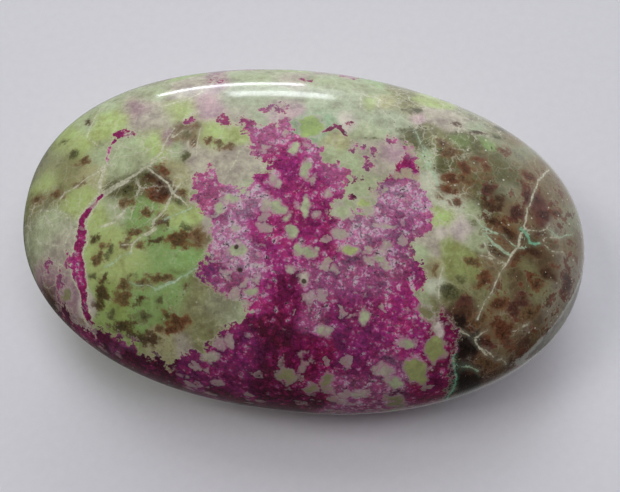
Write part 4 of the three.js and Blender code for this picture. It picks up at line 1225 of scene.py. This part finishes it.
def studio_air():
    """The dim room, with a soft glow where each pale wall catches the daylight."""
    world = bpy.data.worlds.new("studio_air")
    world.use_nodes = True
    tree = world.node_tree
    tree.nodes.clear()
    look = add(tree, "ShaderNodeTexCoord", {}, out="Generated")
    _, depth, height = add(tree, "ShaderNodeSeparateXYZ", {0: look}).node.outputs
    off_wall = add(tree, "ShaderNodeMath", {0: height, 1: 0.06}, operation="SUBTRACT")
    off_wall = add(tree, "ShaderNodeMath", {0: off_wall}, operation="ABSOLUTE")
    wall = add(tree, "ShaderNodeMapRange", {0: off_wall, 1: 0.06, 2: 0.16, 3: 0.36, 4: 0.1}, **SMOOTH)
    daylit = add(tree, "ShaderNodeMapRange", {0: depth, 1: -0.95, 2: -0.1, 3: 0.3, 4: 1.0})
    wall = add(tree, "ShaderNodeMath", {0: wall, 1: daylit}, operation="MULTIPLY")
    light = add(tree, "ShaderNodeVectorMath", {0: linear("d6d8d4"), "Scale": wall}, operation="SCALE")
    for turn, lift, spread, strength, colour in ROOM_GLOWS:
        towards = direction(turn, lift)
        near = add(tree, "ShaderNodeVectorMath", {0: look, 1: towards}, out="Value", operation="DOT_PRODUCT")
        reach = {0: near, 1: math.cos(math.radians(spread)), 2: 1.0, 3: 0.0, 4: strength}
        glow = add(tree, "ShaderNodeMapRange", reach, **SMOOTH)
        tint = add(tree, "ShaderNodeVectorMath", {0: linear(colour), "Scale": glow}, operation="SCALE")
        light = add(tree, "ShaderNodeVectorMath", {0: light, 1: tint})
    background = add(tree, "ShaderNodeBackground", {"Color": light, "Strength": 1.0})
    output = tree.nodes.new("ShaderNodeOutputWorld")
    tree.links.new(background, output.inputs["Surface"])
    return world


class STONE_OT_stage(bpy.types.Operator):
    """Set the paper floor, the soft boxes and the camera"""

    bl_idname = "stone.stage"
    bl_label = "Stage"

    def execute(self, context):
        settings = context.scene.stage_settings
        bpy.ops.object.select_all(action="DESELECT")
        bpy.ops.mesh.primitive_plane_add(size=settings.floor, location=(0, 0, BOX_LOW[2]))
        floor = context.object
        floor.name = "paper_floor"
        bpy.ops.object.transform_apply(location=True, rotation=True, scale=True)
        floor.data.materials.append(matte_paper(settings))
        floor.visible_glossy = False  # the polished flank mirrors the dim room rather than the paper

        middle = Vector((0, 0, (BOX_LOW[2] + BOX_HIGH[2]) / 2))
        for name, turn, height, distance, width, depth, radiance, colour, mirrored in SOFT_BOXES:
            towards = direction(turn, height)
            bpy.ops.object.light_add(type="AREA", location=middle + towards * distance)
            box = context.object
            box.name = name
            box.rotation_euler = towards.to_track_quat("Z", "Y").to_euler()
            box.data.shape = "RECTANGLE"
            box.data.size = width
            box.data.size_y = depth
            box.data.energy = radiance * math.pi * width * depth
            box.data.color = linear(colour)
            box.visible_glossy = mirrored

        aim = Vector(settings.aim)
        back = direction(180 - math.degrees(settings.azimuth), math.degrees(settings.elevation))
        bpy.ops.object.camera_add(location=aim + back * settings.distance)
        camera = context.object
        camera.name = "studio_camera"
        camera.rotation_euler = back.to_track_quat("Z", "Y").to_euler()
        camera.data.lens = settings.lens
        camera.data.sensor_width = 36
        camera.data.clip_start = 0.005
        context.scene.camera = camera

        context.scene.world = studio_air()
        context.scene.view_settings.view_transform = "Standard"
        return {"FINISHED"}


# --- The panel -------------------------------------------------------------------------------------


class STONE_PT_panel(bpy.types.Panel):
    """Builds the stone and its stage"""

    bl_idname = "STONE_PT_panel"
    bl_label = "Palm Stone"
    bl_space_type = "VIEW_3D"
    bl_region_type = "UI"
    bl_category = "Palm Stone"

    def draw(self, context):
        groups = {
            "stone.palm_stone": context.scene.stone_settings,
            "stone.stage": context.scene.stage_settings,
        }
        for operator, settings in groups.items():
            column = self.layout.column()
            for name in settings.__annotations__:
                column.prop(settings, name)
            column.operator(operator)


CLASSES = [StoneSettings, StageSettings, STONE_OT_palm_stone, STONE_OT_stage, STONE_PT_panel]


def register():
    for cls in CLASSES:
        bpy.utils.register_class(cls)
    bpy.types.Scene.stone_settings = PointerProperty(type=StoneSettings)
    bpy.types.Scene.stage_settings = PointerProperty(type=StageSettings)


def unregister():
    del bpy.types.Scene.stage_settings
    del bpy.types.Scene.stone_settings
    for cls in reversed(CLASSES):
        bpy.utils.unregister_class(cls)


def main():
    register()
    bpy.ops.stone.palm_stone()
    bpy.ops.stone.stage()


if __name__ == "__main__":
    main()
